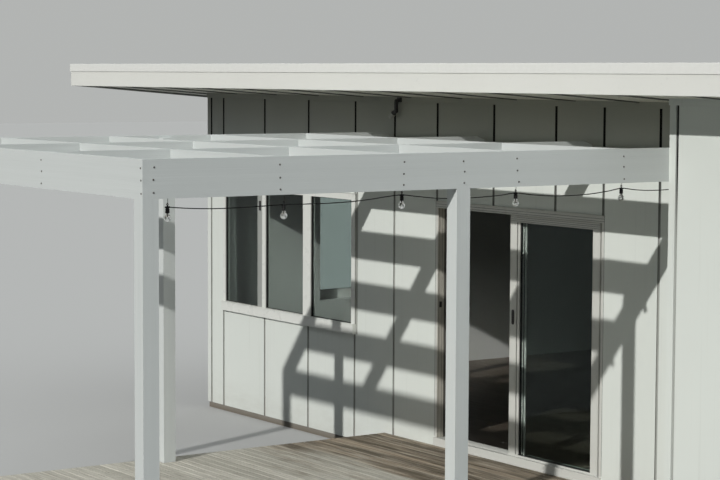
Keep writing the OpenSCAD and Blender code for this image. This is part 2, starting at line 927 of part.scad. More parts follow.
// One rim across the joists' ends, and one beside the near posts
module deck_rims() {
    color([0.40, 0.34, 0.28]) placed() {
        translate([deck_x0, deck_y0, 0]) cube([deck_x1 - deck_x0, joist_t, joist_h]);
        translate([deck_x1 - joist_t, deck_y0 + joist_t + solid_gap, 0])
            cube([joist_t, -deck_y0 - joist_t - wing_proj - 2 * solid_gap, joist_h]);
    }
}

// Sensor light on the wall under the eaves

light_base = [60, 16, 44];
light_neck_r = 12;
light_out = 38;
light_body_side = 4;
light_body_r = 21;
light_body_l = 120;
light_head_r = 19;
light_rim_r = 29;
light_head_l = 118;
light_head_turn = 238;

// A base on the trim, a hanging body, and a lamp head turned down to the left
module wall_light() {
    color([0.12, 0.12, 0.13]) placed()
        translate([light_x, -top_trim_t, sill_z + light_z]) {
            translate([-light_base[0] / 2, -light_base[1], -light_base[2]]) cube(light_base);
            translate([-light_body_side / 2, 0, -light_base[2] / 2])
                rotate([90, 0, 0]) cylinder(r = light_neck_r, h = light_out);
            translate([-light_body_side, -light_out, -light_base[2] / 2 - light_body_l]) {
                cylinder(r = light_body_r, h = light_body_l);
                translate([0, 0, light_body_r]) rotate([0, light_head_turn, 0])
                    cylinder(r1 = light_head_r, r2 = light_rim_r, h = light_head_l);
            }
        }
}

// String of festoon lamps under the near beam

cable_d = 7;
hook_r = 2;
hook_reach = 20;
hook_shank_rise = 12;
hook_shank_z = perg_z0 + hook_shank_rise;
hook_drop = 18;
hook_x = perg_x - perg_t - hook_reach;
cable_z = perg_z0 - hook_drop;

// The cable's route from the outlet to the last lamp, past the inner post: offset from the
// line of the hooks, distance from the wall, and drop below the outlet
cable_route = [[0, -57, 0], [0, -90, -3], [0, -180, -16], [0, -320, -36], [0, -493, -48],
               [0, -665, -48], [0, -810, -38], [0, -930, -25],
               [0, -1058, -42], [0, -1228, -58], [0, -1430, -65], [0, -1633, -60], [0, -1803, -46],
               [0, -1930, -31],
               [-15, -2058, -45], [-37, -2228, -55], [-55, -2385, -58], [-55, -2505, -56],
               [-37, -2633, -48], [-15, -2803, -30], [0, -2930, -16],
               [0, -3058, -24], [0, -3190, -38], [0, -3350, -49], [0, -3530, -54], [0, -3710, -54],
               [0, -3890, -52],
               [0, -4060, -57], [0, -4220, -61], [0, -4380, -62], [0, -4530, -58], [0, -4660, -50],
               [0, -4770, -40]];
// Places in the route at which the cable hangs from a hook and carries a lamp
hook_points = [for (i = [7, 13, 20, 26, 32]) cable_route[i]];
cable_sides = 8;
cable_steps = 2;

// A point between b and c on the smooth curve through a, b, c and d
function smooth(a, b, c, d, t) =
    b + (c - a) * t / 2 + (2 * a - 5 * b + 4 * c - d) * t * t / 2
    + (3 * b - a - 3 * c + d) * t * t * t / 2;

function end_of(v) = v[len(v) - 1];

// A list of points with steps points to each stretch of the smooth curve through it
function smooth_route(v, steps) =
    let (w = concat([2 * v[0] - v[1]], v, [2 * end_of(v) - v[len(v) - 2]]))
    concat([for (i = [0:len(v) - 2], k = [0:steps - 1])
                smooth(w[i], w[i + 1], w[i + 2], w[i + 3], k / steps)],
           [end_of(v)]);

// Corners of a ring of the cable round p, square to the line from a to b
function cable_ring(p, a, b) =
    let (ahead = (b - a) / norm(b - a), across = cross([0, 0, 1], ahead),
         side = across / norm(across), up = cross(ahead, side))
    [for (k = [0:cable_sides - 1]) let (turn = (k + 0.5) * 360 / cable_sides)
        p + cable_d / 2 * (cos(turn) * side + sin(turn) * up)];

module festoon_cable() {
    route = smooth_route(cable_route, cable_steps);
    last = len(route) - 1;
    rings = [for (i = [0:last]) cable_ring(route[i], route[max(i - 1, 0)], route[min(i + 1, last)])];
    n = cable_sides;
    color([0.05, 0.05, 0.05]) placed() translate([hook_x, 0, cable_z])
        polyhedron(points = [for (r = rings) each r],
                   faces = concat([[for (k = [0:n - 1]) k]],
                                  [for (i = [0:last - 1], k = [0:n - 1])
                                      [i * n + k, (i + 1) * n + k, (i + 1) * n + (k + 1) % n,
                                       i * n + (k + 1) % n]],
                                  [[for (k = [n - 1:-1:0]) last * n + k]]));
}

// Hooks screwed into the inner side of the beam, turned down to the cable
module festoon_hooks() {
    color([0.30, 0.30, 0.31]) placed()
        for (p = hook_points) {
            z0 = cable_z + p[2] + cable_d / 2 + seat_gap;
            translate([hook_x, p[1], z0]) cylinder(r = hook_r, h = hook_shank_z - z0 + hook_r);
            translate([hook_x, p[1], hook_shank_z]) rotate([0, 90, 0])
                cylinder(r = hook_r, h = hook_reach);
        }
}

socket_r = 14;
socket_lug_r = 4;
socket_lug_h = 4;
socket_lug_gap = 0.6;
socket_neck_r = 9;
socket_h = 36;
socket_neck_h = 9;
bulb_r = 22.5;
bulb_neck_r = 10.5;
bulb_drop = 69;

// A black socket that hangs from the cable, with its clear bulb
module festoon_lamps() {
    color([0.55, 0.57, 0.58]) placed()
        for (p = hook_points)
            translate([hook_x, p[1], cable_z + p[2] - cable_d / 2 - socket_lug_gap])
                rotate_extrude()
                    polygon(concat([[0, 0], [socket_lug_r, 0], [socket_neck_r, -socket_lug_h],
                                    [socket_neck_r, -socket_neck_h],
                                    [socket_r, -socket_neck_h - 2], [socket_r, -socket_h],
                                    [bulb_neck_r, -socket_h]],
                                   [for (a = [30:-15:-75])
                                       [bulb_r * cos(a), -bulb_drop + bulb_r * sin(a)]],
                                   [[0, -bulb_drop - bulb_r]]));
}

outlet_size = [44, 45, 70];
gland_l = 12;
gland_r = 8;

// Small outlet box on the wall under the ledger, where the cable comes out
module festoon_outlet() {
    color([0.10, 0.10, 0.10]) placed() {
        translate([hook_x - outlet_size[0] / 2, -outlet_size[1], cable_z - outlet_size[2] / 2])
            cube([outlet_size[0], outlet_size[1], perg_z0 - cable_z + outlet_size[2] / 2 - solid_gap]);
        translate([hook_x, -outlet_size[1], cable_z]) rotate([90, 0, 0])
            cylinder(r = gland_r, h = gland_l - seat_gap);
    }
}

floor_slab();
front_wall_left();
front_wall_over_door();
front_wall_right();
wing_front_wall();
wing_return_wall();
left_wall();
right_wall();
back_wall();
cladding_front();
cladding_wing();
cladding_left();
cladding_right();
cladding_back();
wall_top_trim();
front_window_frame();
front_window_glass();
other_window_frames();
other_window_glass();
door_frame();
fixed_leaf_frame();
fixed_leaf_glass();
sliding_leaf_frame();
sliding_leaf_glass();
door_handle();
ceiling_lining();
eaves_lining();
roof_rafters();
roof_sheet();
front_fascia();
barge_boards();
rear_fascia();
roof_capping();
rear_gutter();
downpipes();
near_posts();
far_posts();
near_beam();
far_beam();
outer_beam();
pergola_rafters();
cross_members();
wall_ledger();
deck_boards();
deck_joists();
deck_rims();
wall_light();
festoon_hooks();
festoon_cable();
festoon_lamps();
festoon_outlet();
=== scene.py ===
"""Looks of a white beach house with a timber pergola and a boarded deck, in metres.

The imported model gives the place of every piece. Lengths along the front are measured from the
house's left corner, depths from its recessed front face and heights from the ground, and
at() turns them into the part's own frame.
"""

import math
import random

import bmesh
import bpy
from mathutils import Matrix, Vector


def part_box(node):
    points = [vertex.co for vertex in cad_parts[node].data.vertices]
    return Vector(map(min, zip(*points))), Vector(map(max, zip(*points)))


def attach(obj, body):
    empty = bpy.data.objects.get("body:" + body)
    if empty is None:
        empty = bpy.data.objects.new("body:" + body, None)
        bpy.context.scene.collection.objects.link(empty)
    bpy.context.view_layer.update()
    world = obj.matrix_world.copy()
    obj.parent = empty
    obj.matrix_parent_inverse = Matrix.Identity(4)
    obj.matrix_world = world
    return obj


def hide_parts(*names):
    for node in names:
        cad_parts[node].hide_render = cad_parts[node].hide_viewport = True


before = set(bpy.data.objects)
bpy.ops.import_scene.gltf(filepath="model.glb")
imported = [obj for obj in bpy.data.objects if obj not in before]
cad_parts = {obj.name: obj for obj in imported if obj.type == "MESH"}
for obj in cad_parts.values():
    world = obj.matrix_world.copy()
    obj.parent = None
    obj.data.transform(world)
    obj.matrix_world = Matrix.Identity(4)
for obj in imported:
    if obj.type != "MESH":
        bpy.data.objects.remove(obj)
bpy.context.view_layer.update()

# House plan and heights
LEFT_X = -5.7
FRONT_Y = -3.2
MAIN_L = 7.8
HOUSE_L = 11.4
HOUSE_D = 6.4
WING_PROJ = 0.515
SILL_Z = 0.29
FRONT_H = 3.1
ROOF_SLOPE = math.tan(math.radians(4.5))
FRONT_OVERHANG = 1.12
SIDE_OVERHANG = 1.0
BACK_OVERHANG = 0.6
FASCIA_T = 0.03
TRIM_T = 0.012

# Camera of the photograph: place, turns in degrees, lens and sensor in millimetres
CAMERA_AT = (13.76, -14.452, 3.614)
CAMERA_HEADING = 55.77851
CAMERA_PITCH = 4.586357
CAMERA_ROLL = 0.255882
CAMERA_LENS = 104.352
CAMERA_SENSOR = 36.0
CAMERA_REACH = 300

# Light: the sun, a soft fill for the sides turned away from it, and the sky
SUN = {"toward": (0.387, -1.0, 0.496), "strength": 2.6, "angle": 0.8, "color": (1.0, 0.985, 0.955),
       "mirrored": True}
FILL = {"toward": (-0.6, 1.0, 0.34), "strength": 0.75, "angle": 35.0, "color": (0.97, 0.99, 1.0),
        "mirrored": False}
SKY_LOW = (0.07, 0.078, 0.084)
SKY_HIGH = (1.02, 1.06, 1.07)
SKY_TURN = (0.3, 1.0)
SKY_BRIGHT = (0.321, 0.117, 0.94)
BACKGROUND = (0.447, 0.458, 0.449)

# Finishes by name, filled by each Surface
MATERIALS = {}


def at(x, y, z):
    """A point by its distance from the left corner, its depth and its height."""
    return Vector((LEFT_X + x, FRONT_Y + y, z))


def upward(z):
    return Vector((0, 0, z))


def around(base, offsets):
    """Points at the given offsets from a base."""
    return [base + Vector(offset) for offset in offsets]


def span(start, offsets):
    """A stretch between two offsets from a start."""
    return [start + offset for offset in offsets]


def evenly(first, last, count):
    """Places spread evenly from the first to the last."""
    return [first + i * (last - first) / (count - 1) for i in range(count)]


def lining_z(y):
    """Height of the underside of the eaves lining at a depth y."""
    return SILL_Z + FRONT_H - y * ROOF_SLOPE


# Mesh making


def into_scene(name, data):
    made = bpy.data.objects.new(name, data)
    bpy.context.scene.collection.objects.link(made)
    return made


def circle(middle, radius, a, b, sides):
    """Points round a circle through the directions a and b."""
    turns = [2 * math.pi * k / sides for k in range(sides)]
    return [middle + radius * (math.cos(t) * a + math.sin(t) * b) for t in turns]


class Form:
    """Faces gathered for one mesh, in the part's own frame."""

    def __init__(self):
        self.points = []
        self.faces = []
        self.smooth = []
        self.tones = []
        self.tone = 0.5

    def loft(self, rings, smooth=False):
        """Rings of equal length joined one to the next, with flat ends."""
        first, n = len(self.points), len(rings[0])
        last = first + n * (len(rings) - 1)
        self.faces += [list(range(first, first + n)), list(range(last, last + n))]
        for start in range(first, last, n):
            self.faces += [[start + k, start + (k + 1) % n, start + n + (k + 1) % n, start + n + k]
                           for k in range(n)]
        self.smooth += [False, False] + [smooth] * (last - first)
        self.points += [Vector(p) for ring in rings for p in ring]
        self.tones += [self.tone] * (last + n - first)

    def bar(self, outline, start, end, across=(1, 0, 0)):
        """An outline of (across, up) points drawn from start to end."""
        self.loft([[Vector(p) + a * Vector(across) + upward(b) for a, b in outline]
                   for p in (start, end)])

    def box(self, low, high):
        (x0, y0, z0), (x1, y1, z1) = low, high
        self.loft([[(x0, y0, z), (x1, y0, z), (x1, y1, z), (x0, y1, z)] for z in (z0, z1)])

    def lathe(self, profile, base, axis=(0, 0, 1), sides=16, smooth=True):
        """A profile of (radius, distance along the axis) turned round an axis through base."""
        axis = Vector(axis).normalized()
        side = axis.orthogonal().normalized()
        self.loft([circle(Vector(base) + along * axis, radius, side, axis.cross(side), sides)
                   for radius, along in profile], smooth)

    def tube(self, path, radius, sides=12):
        """A round tube along a path of points."""
        side = (path[1] - path[0]).normalized().orthogonal().normalized()
        rings = []
        for before, point, after in zip([path[0], *path], path, [*path[1:], path[-1]]):
            ahead = (after - before).normalized()
            side = (side - side.dot(ahead) * ahead).normalized()
            rings.append(circle(point, radius, side, ahead.cross(side), sides))
        self.loft(rings, smooth=True)

    def piece(self, name, material, slot, body="house", replaces=None, bevel=0.0):
        """The finished object, riding on its body."""
        mesh = bpy.data.meshes.new(name)
        mesh.from_pydata(self.points, [], self.faces)
        mesh.polygons.foreach_set("use_smooth", self.smooth)
        tone = mesh.attributes.new("tone", "FLOAT", "POINT")
        tone.data.foreach_set("value", self.tones)
        shell = bmesh.new()
        shell.from_mesh(mesh)
        bmesh.ops.recalc_face_normals(shell, faces=shell.faces)
        shell.to_mesh(mesh)
        shell.free()
        mesh.materials.append(MATERIALS[material])
        made = into_scene(name, mesh)
        if bevel:
            soften(made, bevel)
        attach(made, body)
        if replaces:
            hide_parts(replaces)
        return made


def soften(thing, width):
    """Small rounded edges on a piece."""
    bevel = thing.modifiers.new("soft_edges", "BEVEL")
    bevel.width = width
    bevel.segments = 2
    bevel.limit_method = "ANGLE"
    bevel.angle_limit = math.radians(35)


def rounded(w, h, r, steps=3):
    """Outline of a w by h rectangle round the origin, with corners of radius r."""
    points = []
    for i, (cx, cy) in enumerate(((w / 2 - r, h / 2 - r), (r - w / 2, h / 2 - r),
                                  (r - w / 2, r - h / 2), (w / 2 - r, r - h / 2))):
        for k in range(steps + 1):
            turn = math.radians(90 * i + 90 * k / steps)
            points.append((cx + r * math.cos(turn), cy + r * math.sin(turn)))
    return points


# Materials


class Nodes:
    """Shader nodes of a material or of the world."""

    def __init__(self, owner):
        owner.use_nodes = True
        self.tree = owner.node_tree

    def add(self, kind, inputs=None, **settings):
        node = self.tree.nodes.new("ShaderNode" + kind)
        for key, value in settings.items():
            setattr(node, key, value)
        for key, value in (inputs or {}).items():
            self.feed(node.inputs[key], value)
        return node

    def feed(self, socket, value):
        """Link a socket, or set it; a colour is given without its alpha."""
        if isinstance(value, bpy.types.NodeSocket):
            self.tree.links.new(value, socket)
        else:
            socket.default_value = (*value, 1.0) if socket.type == "RGBA" else value

    def math(self, operation, a, b):
        return self.add("Math", {0: a, 1: b}, operation=operation).outputs[0]

    def times(self, a, b):
        return self.math("MULTIPLY", a, b)

    def mix(self, share, a, b):
        """Colour a, with a share of colour b."""
        return self.add("Mix", {0: share, 6: a, 7: b}, data_type="RGBA").outputs[2]

    def part_of(self, value, low, high):
        """0 below low, 1 above high and smooth between; low may be above high."""
        return self.add("MapRange", {"Value": value, "From Min": low, "From Max": high},
                        interpolation_type="SMOOTHSTEP").outputs["Result"]

    def seen_directly(self):
        """1 for rays that see the background itself, in a mirror or through glass, and 0 for the
        light that reaches a surface, also where that comes in through a window."""
        paths = self.add("LightPath").outputs
        total = paths["Is Camera Ray"]
        for name in ("Is Glossy Ray", "Is Transmission Ray"):
            total = self.math("MAXIMUM", total, paths[name])
        scattered = self.math("MINIMUM", paths["Diffuse Depth"], 1.0)
        return self.math("SUBTRACT", total, self.times(total, scattered))


class Surface(Nodes):
    """A Principled material fed by patterns measured in metres."""

    def __init__(self, name, color, **even):
        MATERIALS[name] = bpy.data.materials.new(name + "_finish")
        super().__init__(MATERIALS[name])
        self.shader = self.tree.nodes["Principled BSDF"].inputs
        self.place = self.add("TexCoord").outputs["Object"]
        self.color = color
        self.normal = None
        for socket, value in even.items():
            self.feed(self.shader[socket.replace("_", " ")], value)

    def scaled(self, grain):
        """The place, in units of a grain: one size, or one each on x, y and z."""
        sizes = [grain] * 3 if isinstance(grain, float) else grain
        return self.add("VectorMath", {0: self.place, 1: [1.0 / size for size in sizes]},
                        operation="MULTIPLY").outputs[0]

    def noise(self, grain, detail=3.0, rough=0.55):
        return self.add("TexNoise", {"Vector": self.scaled(grain), "Scale": 1.0, "Detail": detail,
                                     "Roughness": rough}).outputs["Fac"]

    def cells(self, grain):
        """Distance from the middle of cells of the given size."""
        return self.add("TexVoronoi", {"Vector": self.scaled(grain), "Scale": 1.0}).outputs["Distance"]

    def spread(self, value, low, high):
        """Noise turned into a value about from low to high."""
        return self.add("MapRange", {"Value": value, "From Min": 0.3, "From Max": 0.7, "To Min": low,
                                     "To Max": high}).outputs["Result"]

    def tint(self, color, share, most=1.0):
        """A share of another colour over the colour so far, up to most of it."""
        if most < 1.0:
            share = self.times(share, most)
        self.color = self.mix(share, self.color, color)

    def bump(self, height, depth):
        """Relief of the given depth in metres, on top of the relief so far."""
        inputs = {"Height": height, "Distance": depth, "Strength": 1.0}
        if self.normal is not None:
            inputs["Normal"] = self.normal
        self.normal = self.add("Bump", inputs).outputs["Normal"]

    def axis(self, name, vector=None):
        """One axis of the place, or of another vector."""
        return self.add("SeparateXYZ", {0: vector or self.place}).outputs[name]

    def facing_up(self):
        """1 on level tops, 0 on walls and undersides."""
        normal = self.add("NewGeometry").outputs["Normal"]
        return self.part_of(self.axis("Z", normal), 0.4, 0.9)

    def tone(self):
        """The random tone kept with each board."""
        return self.add("Attribute", attribute_name="tone").outputs["Fac"]

    def done(self, roughness):
        """Link what the nodes give to the shader."""
        self.feed(self.shader["Base Color"], self.color)
        self.feed(self.shader["Roughness"], roughness)
        if self.normal is not None:
            self.feed(self.shader["Normal"], self.normal)


def sheet_paint():
    """Rolled satin paint on cement sheet: faint runs, painted shade that darkens every wall but the
    wing's front towards the top, under the eaves, and soil splashed near the ground."""
    s = Surface("sheet", (0.71, 0.745, 0.705), Specular_IOR_Level=0.15)
    s.tint((0.66, 0.695, 0.66), s.spread(s.noise((0.8, 0.8, 1.4), 2.0), 0.0, 0.45))
    s.tint((0.5, 0.52, 0.48), s.part_of(s.noise((0.05, 0.05, 1.6)), 0.56, 0.78), 0.18)
    # Painted shade: the walls behind the wing's front go dark grey towards the top, under the eaves
    recessed = s.part_of(s.axis("Y"), FRONT_Y - 0.35, FRONT_Y - 0.15)
    s.tint((0.34, 0.345, 0.295), s.times(s.part_of(s.axis("Z"), 2.7, 3.42), recessed), 0.95)
    splash = s.spread(s.noise((0.35, 0.35, 0.12), 5.0, 0.7), 0.1, 1.0)
    s.tint((0.3, 0.26, 0.2), s.times(s.part_of(s.axis("Z"), 0.5, 0.06), splash), 0.2)
    s.bump(s.noise(0.004, 2.0), 0.0004)
    s.bump(s.noise(0.3, 2.0), 0.0015)
    s.done(s.spread(s.noise(0.25), 0.42, 0.56))


def groove_paint():
    """Painted framing in the open joints between the sheets, painted near black higher up as the deep shade
    in the joints under the eaves.
    """
    s = Surface("groove", (0.42, 0.43, 0.405), Specular_IOR_Level=0.1)
    s.tint((0.29, 0.3, 0.28), s.noise((0.02, 0.02, 0.3)))
    # Painted shade: near black from 2.2 m up, for the shade deep in the joints
    s.tint((0.014, 0.014, 0.013), s.part_of(s.axis("Z"), 2.2, 3.0))
    s.done(s.spread(s.noise(0.1), 0.6, 0.75))


def room_paint():
    """Matt lining paint inside the rooms."""
    s = Surface("room", (0.53, 0.545, 0.52))
    s.tint((0.46, 0.475, 0.45), s.spread(s.noise(1.2), 0.0, 0.4))
    s.bump(s.noise(0.006), 0.0004)
    s.done(s.spread(s.noise(0.3), 0.7, 0.85))


def gloss_paint(name, base, shade, roughness):
    """Sprayed or brushed gloss on trim, frames and boards."""
    s = Surface(name, base, Specular_IOR_Level=0.25)
    s.tint(shade, s.spread(s.noise(0.5), 0.0, 0.35))
    s.tint((0.42, 0.41, 0.37), s.part_of(s.noise(0.035, 4.0), 0.6, 0.8), 0.12)
    s.bump(s.noise(0.05), 0.0006)
    s.done(s.spread(s.noise(0.12), roughness - 0.05, roughness + 0.1))


def timber_paint(name, grain):
    """Brushed paint on rough-sawn timber: grain shows through, tops are weathered."""
    s = Surface(name, (0.605, 0.635, 0.625), Specular_IOR_Level=0.2)
    fibres = s.noise(grain, 4.0, 0.6)
    bands = s.noise([g * 6 for g in grain], 2.0)
    knots = s.cells([g * 14 + 0.25 for g in grain])
    s.tint((0.545, 0.575, 0.565), s.spread(bands, 0.0, 0.4))
    s.tint((0.4, 0.42, 0.41), s.part_of(fibres, 0.6, 0.74), 0.14)
    s.tint((0.33, 0.33, 0.29), s.part_of(knots, 0.055, 0.02), 0.5)
    s.tint((0.4, 0.41, 0.38), s.times(s.facing_up(), s.part_of(s.noise(0.12, 4.0), 0.35, 0.7)), 0.35)
    s.bump(fibres, 0.0007)
    s.bump(bands, 0.001)
    s.done(s.spread(fibres, 0.45, 0.65))


def deck_timber():
    """Silvered deck boards along x: brown and streaked near the wall, each of its own tone."""
    s = Surface("deck", (0.63, 0.61, 0.535), Specular_IOR_Level=0.2)
    fibres = s.noise((0.3, 0.006, 0.006), 5.0, 0.65)
    figure = s.noise((0.9, 0.03, 0.03))
    patches = s.noise((1.3, 0.35, 1.0), 3.0, 0.6)
    shelter = s.part_of(s.axis("Y"), FRONT_Y - 2.1, FRONT_Y - 0.3)
    shelter = s.part_of(s.math("ADD", shelter, s.spread(patches, -0.35, 0.35)), 0.2, 0.75)
    shelter = s.times(shelter, s.spread(figure, 0.45, 1.0))
    brown = s.mix(s.tone(), (0.4, 0.305, 0.205), (0.23, 0.17, 0.108))
    mould = s.part_of(s.noise((1.5, 0.11, 0.11), 5.0, 0.65), 0.44, 0.6)
    s.tint((0.51, 0.495, 0.43), s.tone())
    s.tint(brown, shelter)
    s.tint((0.24, 0.215, 0.18), s.spread(figure, 0.0, 0.35))
    s.tint((0.06, 0.05, 0.032), s.times(mould, s.math("ADD", s.times(shelter, 0.8), 0.12)))
    s.tint((0.085, 0.068, 0.054), s.part_of(fibres, 0.52, 0.7), 0.75)
    s.bump(fibres, 0.0026)
    s.done(s.spread(fibres, 0.68, 0.88))


def bare_timber(name, light, dark, grain):
    """Unpainted timber with its grain along one axis."""
    s = Surface(name, light, Specular_IOR_Level=0.25)
    fibres = s.noise(grain, 4.0, 0.6)
    s.tint(dark, s.spread(fibres, 0.0, 1.0))
    s.bump(fibres, 0.0015)
    s.done(s.spread(fibres, 0.65, 0.85))


def concrete():
    """Rough concrete, stained low down."""
    s = Surface("concrete", (0.36, 0.35, 0.325))
    stains = s.noise((0.35, 0.35, 0.2), 4.0)
    s.tint((0.23, 0.22, 0.2), s.spread(stains, 0.0, 0.8))
    s.tint((0.17, 0.15, 0.12), s.part_of(s.axis("Z"), 0.12, 0.0))
    s.bump(s.noise(0.02, 4.0), 0.003)
    s.done(s.spread(stains, 0.75, 0.92))


def room_floor():
    """Dark oiled floorboards along x."""
    s = Surface("floor", (0.115, 0.094, 0.072), Specular_IOR_Level=0.4)
    grain = s.noise((0.4, 0.008, 0.1), 4.0)
    s.tint((0.058, 0.047, 0.037), s.spread(grain, 0.0, 1.0))
    s.tint((0.085, 0.069, 0.053), s.part_of(s.cells((1.8, 0.12, 1.0)), 0.2, 0.7))
    s.bump(grain, 0.0008)
    s.done(s.spread(grain, 0.38, 0.55))


def window_glass():
    """Tinted glass with little glare, so that a pane shows the dark room behind it."""
    s = Surface("glass", (0.6, 0.67, 0.65), Transmission_Weight=1.0, IOR=1.16, Specular_IOR_Level=0.1)
    smears = s.noise((0.5, 0.5, 0.7))
    s.tint((0.53, 0.59, 0.57), s.spread(smears, 0.0, 0.3))
    s.done(s.spread(smears, 0.0, 0.03))


def bulb_glass():
    s = Surface("bulb", (0.96, 0.97, 0.96), Transmission_Weight=1.0, IOR=1.45)
    dust = s.noise(0.012)
    s.tint((0.86, 0.88, 0.87), s.spread(dust, 0.0, 0.4))
    s.done(s.spread(dust, 0.02, 0.1))


def black_plastic(name, base, dusty, gloss):
    s = Surface(name, base, Specular_IOR_Level=gloss)
    dust = s.noise(0.03, 4.0)
    s.tint(dusty, s.spread(dust, 0.0, 0.35))
    s.bump(s.noise(0.0015), 0.0002)
    s.done(s.spread(dust, 0.38, 0.58))


def zinc():
    """Galvanised steel with its spangle."""
    s = Surface("zinc", (0.46, 0.47, 0.48), Metallic=1.0)
    s.tint((0.33, 0.34, 0.35), s.part_of(s.cells(0.008), 0.1, 0.6))
    s.done(s.spread(s.noise(0.02), 0.34, 0.52))


def dark_bolt():
    """Weathered fixing with the paint worn off."""
    s = Surface("bolt", (0.15, 0.155, 0.155), Metallic=0.4)
    rust = s.noise(0.006, 4.0)
    s.tint((0.11, 0.085, 0.065), s.part_of(rust, 0.4, 0.65))
    s.done(s.spread(rust, 0.5, 0.75))


def lamp_thread():
    s = Surface("filament", (0.2, 0.19, 0.17), Metallic=0.8)
    s.tint((0.1, 0.09, 0.08), s.noise(0.004))
    s.done(0.4)


def coated_metal(name, base, shade, gloss=0.5, roughness=0.3):
    """Painted folded metal, with chalky streaks down its slope."""
    s = Surface(name, base, Specular_IOR_Level=gloss)
    streaks = s.noise((0.04, 0.6, 0.04))
    s.tint(shade, s.spread(streaks, 0.0, 0.4))
    dirt = s.part_of(s.noise((0.2, 0.5, 0.2), 4.0), 0.45, 0.75)
    s.tint((0.36, 0.36, 0.33), s.times(s.facing_up(), dirt), 0.35)
    s.bump(s.noise(0.5, 2.0), 0.002)
    s.done(s.spread(streaks, roughness, roughness + 0.18))


def make_materials():
    sheet_paint()
    groove_paint()
    room_paint()
    gloss_paint("window", (0.71, 0.725, 0.69), (0.65, 0.665, 0.63), 0.28)
    gloss_paint("door", (0.6, 0.605, 0.57), (0.54, 0.545, 0.51), 0.3)
    # Painted shade: the sash is a mid grey copy of the window white, for a sash lit less than its frame
    gloss_paint("sash", (0.335, 0.35, 0.33), (0.28, 0.293, 0.275), 0.35)
    gloss_paint("jamb", (0.64, 0.615, 0.54), (0.56, 0.535, 0.47), 0.4)
    gloss_paint("fascia", (0.745, 0.75, 0.71), (0.7, 0.705, 0.665), 0.38)
    gloss_paint("lining", (0.8, 0.79, 0.7), (0.7, 0.695, 0.615), 0.55)
    # Painted shade: the battens are near black, for the shade lines between the lining's boards
    gloss_paint("batten", (0.17, 0.175, 0.16), (0.12, 0.125, 0.115), 0.6)
    gloss_paint("lens", (0.42, 0.43, 0.4), (0.34, 0.35, 0.32), 0.25)
    timber_paint("timber_x", (0.5, 0.008, 0.008))
    timber_paint("timber_y", (0.008, 0.5, 0.008))
    timber_paint("timber_z", (0.008, 0.008, 0.5))
    deck_timber()
    bare_timber("joist", (0.24, 0.2, 0.155), (0.12, 0.1, 0.08), (0.02, 0.25, 0.02))
    bare_timber("rim", (0.27, 0.235, 0.19), (0.15, 0.125, 0.1), (0.25, 0.25, 0.012))
    bare_timber("pine", (0.6, 0.46, 0.29), (0.45, 0.31, 0.17), (0.012, 0.4, 0.012))
    bare_timber("shade", (0.17, 0.16, 0.145), (0.12, 0.112, 0.1), (0.01, 0.01, 0.4))
    concrete()
    room_floor()
    window_glass()
    bulb_glass()
    black_plastic("plastic", (0.022, 0.022, 0.023), (0.07, 0.068, 0.062), 0.4)
    black_plastic("gasket", (0.01, 0.01, 0.011), (0.07, 0.068, 0.062), 0.4)
    black_plastic("rubber", (0.008, 0.008, 0.009), (0.022, 0.021, 0.019), 0.15)
    zinc()
    dark_bolt()
    lamp_thread()
    coated_metal("roof", (0.6, 0.615, 0.615), (0.5, 0.515, 0.51), 0.12, 0.55)
    coated_metal("capping", (0.77, 0.775, 0.745), (0.7, 0.705, 0.675))
    coated_metal("gutter", (0.68, 0.69, 0.665), (0.58, 0.59, 0.565))


# Camera, light and stage

FLOOR_SIZE = 240.0
FLOOR_DROP = 0.002
FLOOR_SEEN = (0.4, 0.405, 0.4)
FLOOR_LIGHT = (0.087, 0.091, 0.094)
FLOOR_LIFT = 0.06


def make_camera():
    camera = into_scene("camera", bpy.data.cameras.new("camera"))
    turn = (Matrix.Rotation(math.radians(CAMERA_HEADING), 4, "Z")
            @ Matrix.Rotation(math.radians(90 - CAMERA_PITCH), 4, "X")
            @ Matrix.Rotation(math.radians(CAMERA_ROLL), 4, "Z"))
    camera.matrix_world = Matrix.Translation(CAMERA_AT) @ turn
    camera.data.lens = CAMERA_LENS
    camera.data.sensor_width = CAMERA_SENSOR
    camera.data.clip_end = CAMERA_REACH
    bpy.context.scene.camera = camera


def make_lamp(name, toward, strength, angle, color, mirrored):
    """A distant lamp, which metal and glass show only if mirrored."""
    lamp = into_scene(name, bpy.data.lights.new(name, "SUN"))
    lamp.rotation_euler = Vector(toward).to_track_quat("Z", "Y").to_euler()
    lamp.data.energy = strength
    lamp.data.angle = math.radians(angle)
    lamp.data.color = color
    lamp.visible_glossy = lamp.visible_transmission = mirrored


def make_world():
    """Sky light that is brightest overhead, a little to the right, behind a plain background."""
    world = bpy.data.worlds.new("sky")
    bpy.context.scene.world = world
    n = Nodes(world)
    toward = n.add("VectorMath", {0: n.add("TexCoord").outputs["Generated"], 1: SKY_BRIGHT},
                   operation="DOT_PRODUCT").outputs["Value"]
    light = n.mix(n.part_of(toward, *SKY_TURN), SKY_LOW, SKY_HIGH)
    n.feed(n.tree.nodes["Background"].inputs["Color"], n.mix(n.seen_directly(), light, BACKGROUND))


def make_floor():
    """Pale ground that shows the shadow; its own light back on the house stays moderate."""
    s = Surface("stage", FLOOR_LIGHT, Emission_Color=(1, 1, 1))
    seen = s.seen_directly()
    s.tint(FLOOR_SEEN, seen)
    s.feed(s.shader["Emission Strength"], s.times(seen, FLOOR_LIFT))
    s.done(0.9)
    a = FLOOR_SIZE / 2
    mesh = bpy.data.meshes.new("floor")
    mesh.from_pydata([(x, y, -FLOOR_DROP) for x, y in ((-a, -a), (a, -a), (a, a), (-a, a))], [],
                     [[0, 1, 2, 3]])
    mesh.materials.append(MATERIALS["stage"])
    into_scene("floor", mesh)


# Festoon: a cable under the near beam, with its lamps, hooks and outlet

CABLE_D = 0.007
CABLE_X = 7.735
CABLE_Z = 2.79
